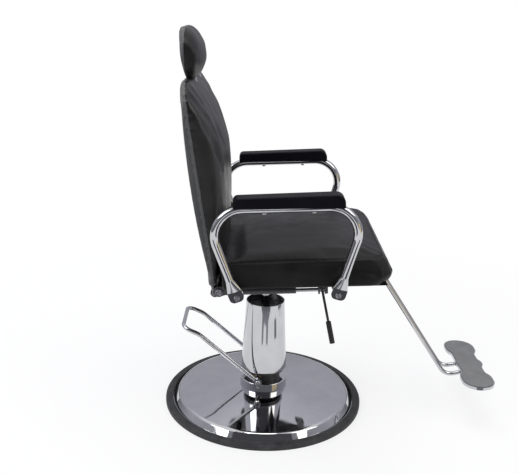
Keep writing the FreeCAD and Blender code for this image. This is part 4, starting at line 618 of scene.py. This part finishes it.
def seam_line(piece, home, half_x, low, high, level, upright=False):
    """Where a plane meets an oblong cushion: level at that height of its frame, or upright at that depth."""
    tree = BVHTree.FromObject(piece, bpy.context.evaluated_depsgraph_get())
    middle = (low + high) / 2
    places = []
    for step in range(RAYS + 1):
        turn = 2 * math.pi * step / RAYS
        ends = []
        for share in (RAY_START, RAY_END):
            across = math.cos(turn) * half_x * 2 * share
            along = middle + math.sin(turn) * (high - low) * share
            ends.append(home @ Vector((across, level, along) if upright else (across, along, level)))
        start, end = ends
        spot = tree.ray_cast(start, (end - start).normalized())[0]
        if spot:
            places.append(spot)
    return evened(places, SEAM_STEP)


def press(piece, line, depth, width, gathers=0.0):
    """Press the cover in along a line, with small gathers that run off it."""
    finder = KDTree(len(line))
    along = [0.0]
    for before, after in zip(line, line[1:]):
        along.append(along[-1] + (after - before).length)
    for index, spot in enumerate(line):
        finder.insert(spot, index)
    finder.balance()
    points = coordinates(piece.data)
    outward = normals(piece.data)
    sunk = np.zeros(len(points))
    for index, point in enumerate(points):
        nearest, distance = finder.find(point)[1:]
        if distance < width * SEAM_REACH:
            run = along[nearest]
            fold = math.sin(run * CLOSE_GATHERS) + math.sin(run * WIDE_GATHERS + 1)
            sunk[index] = depth * math.exp(-((distance / width) ** 2))
            sunk[index] += gathers * fold * math.exp(-((distance / (width * GATHER_REACH)) ** 2))
    place_points(piece.data, points - outward * sunk[:, None])


# %% [markdown]
# Handing a cover over
#
# A cover gets its finish and rides on the body that carries it, and the CAD
# piece that it stands for is hidden.

# %% Dress a new piece
def dress(piece, finish, body, node=None):
    """Finish a new piece, let it ride on its body, and hide the CAD piece it stands for."""
    piece.data.materials.clear()
    piece.data.materials.append(finishes[finish])
    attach(piece, body)
    if node:
        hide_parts(node)


# %% [markdown]
# Seat cushion
#
# The seat is a boxed cushion: a crowned top panel sewn to an upright band. The
# seam between them runs all round just under the top edge, where the sitter's
# weight pulls it, so that is where the cover is pressed in. The foam bulges to
# the backrest, where a gap would show the floor, and it is held there while the
# air goes in.

# %% Shape of the seat cushion
SEAT_HALF = 0.25
SEAT_FRONT = 0.32
SEAT_REAR = 0.101
SEAT_TOP = 0.09
REAR_START = 0.03
LOW_BULGE = 0.01
HIGH_BULGE = 0.02
FRONT_START = 0.26
FRONT_FILL = 0.007
ROLL_DROP = 0.0045
ROLL_WIDTH = 0.014
ROLL_HEIGHT = 0.035


def settle_seat(points):
    """Let the foam fill its front, bulge back to the backrest and roll a little under the board's edge."""
    x, y, z = points.T
    rear = rising(y - REAR_START, SEAT_REAR - REAR_START) ** 2
    front = rising(-FRONT_START - y, SEAT_FRONT - FRONT_START) ** 2
    bulge = LOW_BULGE + (HIGH_BULGE - LOW_BULGE) * rising(z, SEAT_TOP)
    edge = np.minimum(np.minimum(SEAT_HALF - np.abs(x), SEAT_REAR - y), y + SEAT_FRONT)
    roll = np.exp(-((np.maximum(edge, 0) / ROLL_WIDTH) ** 2)) * rising(ROLL_HEIGHT - z, ROLL_HEIGHT)
    return np.stack([x, y + bulge * rear - FRONT_FILL * front, z - ROLL_DROP * roll], axis=1)


# %% [markdown]
# Making the seat cushion
#
# The order matters. The foam is shaped and smoothed first, then the air goes
# in, and the seam is pressed last, because smoothing would take it away again.

# %% Seat cushion
SEAT_HELD_HEIGHT = 0.016
SEAT_HELD_FADE = 0.02
REAR_HELD_START = 0.09
REAR_HELD_FADE = 0.03
SEAT_SEAM_HEIGHT = 0.071

seat_cushion = net_of("seat_cushion", "seat_cover")
local = within(coordinates(seat_cushion.data), seat_frame)
free = rising(local[:, 2] - SEAT_HELD_HEIGHT, SEAT_HELD_FADE)
blown_free = free * rising(REAR_HELD_START - local[:, 1], REAR_HELD_FADE)
reshape(seat_cushion, seat_frame, settle_seat)
relax(seat_cushion, free, rounds=8)
swell(seat_cushion, blown_free, shrink=0.003, cap=0.008)
relax(seat_cushion, free, rounds=24)
refine(seat_cushion)
seam = seam_line(seat_cushion, seat_frame, SEAT_HALF, -SEAT_FRONT, SEAT_REAR, SEAT_SEAM_HEIGHT)
press(seat_cushion, seam, depth=0.0034, width=0.0036, gathers=0.0004)
dress(seat_cushion, "vinyl", "seat", "seat_cushion")
print("seat seam points:", len(seam))

# %% [markdown]
# Dust cloth
#
# The underside of an upholstered seat is closed with thin black cloth, stapled
# to the board. Here it matters more than it seems to, because the chromed base
# mirrors it. It is one sheet, nearly flat, with a little slack that dies away
# at its edges.

# %% Dust cloth
CLOTH_HALF = SEAT_HALF - 0.014
CLOTH_FRONT = SEAT_FRONT - 0.014
CLOTH_REAR = SEAT_REAR - 0.013
CLOTH_WALL = 0.0004
CLOTH_GAP = 0.0006
CLOTH_SLACK = 0.0008
CLOTH_WAVES = 130


def make_dust_weave():
    material, tree, shader = start_finish("black_dust_cloth", roughness=0.9, specular_ior_level=0.2)
    patch = lumps(tree, size=0.02, detail=3)
    colour = tints(tree, patch, dark=(0.006, 0.006, 0.008), light=(0.012, 0.012, 0.014))
    weave = relief(tree, lumps(tree, size=0.0007, detail=2), depth=0.0001)
    plug(tree, shader, base_color=colour, normal=weave)
    return material


def make_dust_cloth():
    """A thin sheet under the seat board, slack between its staples."""
    form = bmesh.new()
    bmesh.ops.create_grid(form, x_segments=60, y_segments=50, size=1)
    for spot in form.verts:
        across = spot.co.x * CLOTH_HALF
        along = (CLOTH_REAR - CLOTH_FRONT) / 2 + spot.co.y * (CLOTH_REAR + CLOTH_FRONT) / 2
        stapled = (1 - spot.co.x**8) * (1 - spot.co.y**8)
        slack = CLOTH_SLACK * math.cos(across * CLOTH_WAVES) * math.cos(along * CLOTH_WAVES) * stapled
        spot.co = seat_frame @ Vector((across, along, slack - CLOTH_SLACK - CLOTH_GAP))
    bmesh.ops.solidify(form, geom=form.faces[:], thickness=CLOTH_WALL)
    mesh = bpy.data.meshes.new("dust_cloth")
    form.to_mesh(mesh)
    form.free()
    made = bpy.data.objects.new("dust_cloth", mesh)
    scene.collection.objects.link(made)
    return made


finishes["dust_cloth"] = make_dust_weave()
dust_cloth = make_dust_cloth()
dress(dust_cloth, "dust_cloth", "seat")
print("dust cloth:", round(CLOTH_HALF * 2, 3), "by", round(CLOTH_FRONT + CLOTH_REAR, 3), "m")

# %% [markdown]
# Back and headrest covers
#
# The back and the headrest are made alike: a padded front over a board, and a
# thin covered panel behind it. Smoothing rounds the edges of both where they
# meet, which would leave a groove all round. So each cover runs a little past
# the joint, into the other, and the front cover is held still there while the
# air goes in.

# %% Covers on both sides of a joint
MEETING_REACH = 0.014
MEETING_OVERLAP = 0.005
REAR_ROUNDS = 12


def joint_depth(node):
    """How far behind the hinge a piece reaches, in the backrest's frame."""
    return float(within(coordinates(frame["nodes"][node].data), back_frame)[:, 1].max())


def meeting(joint, side):
    """A rule that lets a cover run a little past the joint, to the rear for side 1 and forward for -1."""
    def rule(points):
        x, y, z = points.T
        near = rising(MEETING_REACH - np.abs(y - joint), MEETING_REACH)
        return np.stack([x, y + side * MEETING_OVERLAP * near, z], axis=1)
    return rule


def make_front_cover(node, name, rule, joint, held, fade, edge_rounds, rounds, shrink, cap, settle_rounds):
    """A padded front, smoothed, blown up and smoothed again; near the joint it is held still."""
    cover = net_of(node, name)
    free = rising(joint - held - within(coordinates(cover.data), back_frame)[:, 1], fade)
    reshape(cover, back_frame, rule)
    reshape(cover, back_frame, meeting(joint, 1))
    relax(cover, np.ones(len(free)), edge_rounds)
    relax(cover, free, rounds)
    swell(cover, free, shrink, cap)
    relax(cover, free, settle_rounds)
    refine(cover)
    return cover


def make_rear_cover(node, name, rule, joint, body):
    """A thin covered panel behind the joint."""
    cover = net_of(node, name)
    reshape(cover, back_frame, rule)
    reshape(cover, back_frame, meeting(joint, -1))
    relax(cover, np.ones(len(cover.data.vertices)), REAR_ROUNDS)
    refine(cover)
    dress(cover, "grey_vinyl", body, node)


# %% [markdown]
# Backrest
#
# The back cushion is deepest below the shoulders and thins to its foot and its
# top. Its two lower corners are tighter than the upper ones. The black vinyl
# ends at a seam a little ahead of the rear panel, and the cover is pressed in
# there.

# %% Back cushion and its rear panel
BACK_HALF = 0.23
BACK_FOOT = 0.02
BACK_TOP = 0.538
BACK_CORNER = 0.07
FOOT_CORNER = 0.035


def half_width(rise, corner):
    """Half the back's width at a rise above its foot, with a lower corner of this radius."""
    left = corner - np.clip(rise, 0, corner)
    return BACK_HALF - corner + np.sqrt(corner**2 - left**2)


def square_foot(points):
    """Fill out the two lower corners, which are tighter than the upper ones."""
    x, y, z = points.T
    rise = z - BACK_FOOT
    return np.stack([x * half_width(rise, FOOT_CORNER) / half_width(rise, BACK_CORNER), y, z], axis=1)


back_joint = joint_depth("back_cushion")
print("back joint:", round(back_joint, 4))
back_cushion = make_front_cover(
    "back_cushion", "back_cover", square_foot, back_joint, held=0.008, fade=0.012,
    edge_rounds=12, rounds=70, shrink=0.002, cap=0.007, settle_rounds=30,
)
seam = seam_line(back_cushion, back_frame, BACK_HALF, BACK_FOOT, BACK_TOP, BACK_SEAM_DEPTH, upright=True)
press(back_cushion, seam, depth=0.0024, width=0.0035, gathers=0.0005)
dress(back_cushion, "back_vinyl", "back", "back_cushion")
make_rear_cover("back_panel", "back_rear_cover", square_foot, back_joint, "back")
print("back seam points:", len(seam))

# %% [markdown]
# Headrest
#
# The headrest is a small copy of the back: a padded front with a rounded
# profile and a thinner covered panel behind it, on two posts. Its rear reaches
# down to the top of the backrest.

# %% Headrest cushion and its rear panel
HEAD_DROP = 0.012
DROP_HEIGHT = 0.045
DROP_START = 0.035
DROP_FADE = 0.03

head_joint = joint_depth("headrest_cushion")
head_foot = float(within(coordinates(frame["nodes"]["headrest_panel"].data), back_frame)[:, 2].min())
print("head joint:", round(head_joint, 4), "head foot:", round(head_foot, 4))


def drop_rear(points):
    """Let the rear of the headrest reach down to the backrest's top."""
    x, y, z = points.T
    low = rising(head_foot + DROP_HEIGHT - z, DROP_HEIGHT)
    rear = rising(y - head_joint + DROP_START, DROP_FADE)
    return np.stack([x, y, z - HEAD_DROP * low * rear], axis=1)


head_cushion = make_front_cover(
    "headrest_cushion", "head_cover", drop_rear, head_joint, held=0.004, fade=0.01,
    edge_rounds=10, rounds=14, shrink=0.0005, cap=0.005, settle_rounds=4,
)
dress(head_cushion, "head_vinyl", "headrest", "headrest_cushion")
make_rear_cover("headrest_panel", "head_rear_cover", drop_rear, head_joint, "headrest")

# %% [markdown]
# Floor and world
#
# The chair stands on a plain pale floor. The floor takes most of its white from
# itself when it is looked at or mirrored, and the rest is lit, so it keeps the
# shadow. Its own share grows away from the chair, which leaves no edge between
# the floor and the white world behind it.

# %% Floor and world
FLOOR_HALF = 40
SHADOW_RADIUS = 0.5
CLEAR_RADIUS = 1.8
SHADOW_SHARE = 0.76
FLOOR_TONE = (0.86, 0.86, 0.87, 1)
SKY_TONE = (0.9, 0.93, 1.0, 1)
SKY_LIGHT = 0.55
PURE_WHITE = (1, 1, 1, 1)


def stage_material(name):
    """An empty material for a stage piece, and its tree."""
    material = bpy.data.materials.new(name)
    material.use_nodes = True
    material.node_tree.nodes.clear()
    return material, material.node_tree


def stage_piece(name, form, material):
    """Put a form on the stage in its material."""
    mesh = bpy.data.meshes.new(name)
    form.to_mesh(mesh)
    form.free()
    mesh.materials.append(material)
    made = bpy.data.objects.new(name, mesh)
    scene.collection.objects.link(made)
    return made


def looked_at(tree):
    """1 for rays from the camera, from a mirror or through glass."""
    path = add_node(tree, "LightPath")
    seen = combined(tree, "MAXIMUM", path.outputs["Is Camera Ray"], path.outputs["Is Glossy Ray"])
    return combined(tree, "MAXIMUM", seen, path.outputs["Is Transmission Ray"])


def distance_out(tree):
    """Metres from the foot of the pump's axis."""
    return add_node(tree, "VectorMath", {0: on_piece(tree)}, operation="LENGTH").outputs["Value"]


def make_floor():
    """A pale floor, lit near the chair and white of its own further out."""
    material, tree = stage_material("pale_floor")
    lit = add_node(tree, "BsdfDiffuse", {"Color": FLOOR_TONE})
    own = add_node(tree, "Emission", {"Color": PURE_WHITE, "Strength": 1.0})
    white = spread(tree, distance_out(tree), SHADOW_SHARE, 1.0, SHADOW_RADIUS, CLEAR_RADIUS)
    share = combined(tree, "MULTIPLY", looked_at(tree), white)
    mix = add_node(tree, "MixShader", {0: share, 1: lit.outputs[0], 2: own.outputs[0]})
    add_node(tree, "OutputMaterial", {"Surface": mix.outputs[0]})
    form = bmesh.new()
    bmesh.ops.create_grid(form, x_segments=1, y_segments=1, size=FLOOR_HALF)
    stage_piece("floor", form, material)


def make_world():
    """A world that lights the chair softly, and is white where it is looked at."""
    world = bpy.data.worlds.new("studio")
    scene.world = world
    world.use_nodes = True
    tree = world.node_tree
    tree.nodes.clear()
    soft = add_node(tree, "Background", {"Color": SKY_TONE, "Strength": SKY_LIGHT})
    white = add_node(tree, "Background", {"Color": PURE_WHITE, "Strength": 1.0})
    mix = add_node(tree, "MixShader", {0: looked_at(tree), 1: soft.outputs[0], 2: white.outputs[0]})
    add_node(tree, "OutputWorld", {"Surface": mix.outputs[0]})


make_floor()
make_world()
print("floor and world ready")

# %% [markdown]
# What the chrome mirrors
#
# Chrome has no look of its own: it shows the room, and a white room alone would
# make it flat. So a grey wall stands round the chair, darkest at its foot and
# on the camera's side. It is seen only in reflections, and so are the screens
# that come after it.

# %% Grey surround
WALL_RADIUS = 4
WALL_HEIGHT = 5
WALL_FOOT = (0.2, 0.2, 0.22, 1)
WALL_TOP = (0.85, 0.85, 0.9, 1)
WALL_TONES = ((0.1, 0.3), (0.25, 0.48), (0.6, 0.52))
WALL_COOLNESS = 1.1


def only_mirrored(piece):
    """Let a stage piece be seen in reflections alone."""
    piece.visible_camera = False
    piece.visible_diffuse = False
    piece.visible_shadow = False
    piece.visible_transmission = False


def make_wall():
    """A grey surround, darkest at its foot and on the camera's side."""
    material, tree = stage_material("grey_surround")
    parts = add_node(tree, "SeparateXYZ", {0: on_piece(tree)})
    ramp = add_node(tree, "ValToRGB", {0: spread(tree, parts.outputs["Z"], 0, 1, 0, WALL_HEIGHT)})
    stops = ramp.color_ramp.elements
    stops[0].position = 0.0
    stops[0].color = WALL_FOOT
    stops[1].position = 1.0
    stops[1].color = WALL_TOP
    for height, tone in WALL_TONES:
        stops.new(height).color = (tone, tone, tone * WALL_COOLNESS, 1)
    dim = spread(tree, parts.outputs["X"], low=0.5, high=1.0, start=-3.5, stop=0.5)
    glow = add_node(tree, "Emission", {"Color": ramp.outputs[0], "Strength": dim})
    add_node(tree, "OutputMaterial", {"Surface": glow.outputs[0]})
    form = bmesh.new()
    bmesh.ops.create_cone(
        form, cap_ends=False, segments=96, radius1=WALL_RADIUS, radius2=WALL_RADIUS, depth=WALL_HEIGHT
    )
    form.transform(Matrix.Translation((0, 0, WALL_HEIGHT / 2)))
    only_mirrored(stage_piece("grey_surround", form, material))


make_wall()
print("surround ready")

# %% [markdown]
# Screens
#
# Curved screens stand nearer than the wall, as a photographer would set them.
# A wide grey one lies low before the pump, and a small one beside the foot
# plate. Two more lie on the floor where the flat ends of the near arm mirror
# it. A dark one hangs high on the camera's side and is mirrored in the base,
# and a warm one gives the tubes their yellow streaks.

# %% Screens
COOL = (0.9, 0.9, 1.0)
WARM = (1.0, 0.84, 0.5)
SCREEN_PANELS = 20
TONE_REACH = 0.3


def make_screen(name, rows, heading, half_turn, colour, near_tone, far_tone, bow=0.0):
    """A curved screen through rows of radius and height; bow lets its inner edge recede to both sides."""
    material, tree = stage_material(name)
    inner = rows[0][0]
    tone = spread(tree, distance_out(tree), near_tone, far_tone, inner, inner + TONE_REACH)
    glow = add_node(tree, "Emission", {"Color": (*colour, 1), "Strength": tone})
    add_node(tree, "OutputMaterial", {"Surface": glow.outputs[0]})
    form = bmesh.new()
    bands = []
    for index, (radius, height) in enumerate(rows):
        band = []
        for step in range(SCREEN_PANELS + 1):
            side = 2 * step / SCREEN_PANELS - 1
            turn = math.radians(heading + half_turn * side)
            reach = radius + (bow * side**2 if index == 0 else 0)
            band.append(form.verts.new((reach * math.cos(turn), reach * math.sin(turn), height)))
        bands.append(band)
    for lower, upper in zip(bands, bands[1:]):
        for step in range(SCREEN_PANELS):
            form.faces.new((lower[step], lower[step + 1], upper[step + 1], upper[step]))
    only_mirrored(stage_piece(name, form, material))


make_screen(
    "low_screen", ((0.82, 0.004), (1.75, 0.06)), heading=184, half_turn=48,
    colour=COOL, near_tone=0.42, far_tone=0.09, bow=0.85,
)
make_screen(
    "foot_screen", ((0.64, 0.003), (0.82, 0.02)), heading=238, half_turn=6,
    colour=COOL, near_tone=0.25, far_tone=0.25,
)
for heading in (169, 192):
    make_screen(
        "near_screen", ((0.62, 0.003), (0.98, 0.02)), heading, half_turn=4.5,
        colour=COOL, near_tone=0.34, far_tone=0.3,
    )
make_screen(
    "high_screen", ((2.6, 1.1), (2.3, 2.6), (1.3, 3.6)), heading=180, half_turn=38,
    colour=COOL, near_tone=0.09, far_tone=0.09,
)
make_screen(
    "warm_screen", ((2.4, 0.15), (2.4, 0.8)), heading=236, half_turn=13,
    colour=WARM, near_tone=0.95, far_tone=0.95,
)
print("screens ready")

# %% [markdown]
# Lamps
#
# Five large soft lamps light the chair. Their size, more than their strength,
# gives the long highlights on the tubes and the soft sheen on the covers. The
# key lamp and the side lamp also make the two white marks on the bevel of the
# base. The top lamp and the rear lamp are kept out of the mirrors, because they
# would show as white patches on the base.

# %% Lamps
WHITE = (1.0, 1.0, 1.0)
NEAR_WHITE = (1.0, 0.99, 1.0)
PALE_YELLOW = (1.0, 0.95, 0.84)
PALE_BLUE = (0.92, 0.95, 1.0)


def make_lamp(name, place, aim, size, watts, colour, mirrored=True):
    """A soft oblong lamp, turned to a point at the height aim on the pump's axis."""
    data = bpy.data.lights.new(name, "AREA")
    data.shape = "RECTANGLE"
    data.size, data.size_y = size
    data.energy = watts
    data.color = colour
    lamp = bpy.data.objects.new(name, data)
    scene.collection.objects.link(lamp)
    lamp.location = place
    lamp.rotation_euler = (Vector((0, 0, aim)) - Vector(place)).to_track_quat("-Z", "Y").to_euler()
    lamp.visible_glossy = mirrored


make_lamp("key_lamp", (-1.3, 2.4, 2.45), aim=0.3, size=(1.8, 1.4), watts=38, colour=NEAR_WHITE)
make_lamp("side_lamp", (-1.3, -2.4, 2.4), aim=0.3, size=(1.7, 1.3), watts=20, colour=PALE_YELLOW)
make_lamp("top_lamp", (0.3, -0.2, 2.9), aim=0.4, size=(2.2, 1.2), watts=26, colour=WHITE, mirrored=False)
make_lamp("edge_lamp", (-0.9, 0.0, 2.9), aim=0.5, size=(1.2, 0.8), watts=9, colour=WHITE)
make_lamp("rear_lamp", (2.2, 1.2, 1.8), aim=0.6, size=(1.2, 1.2), watts=12, colour=PALE_BLUE, mirrored=False)
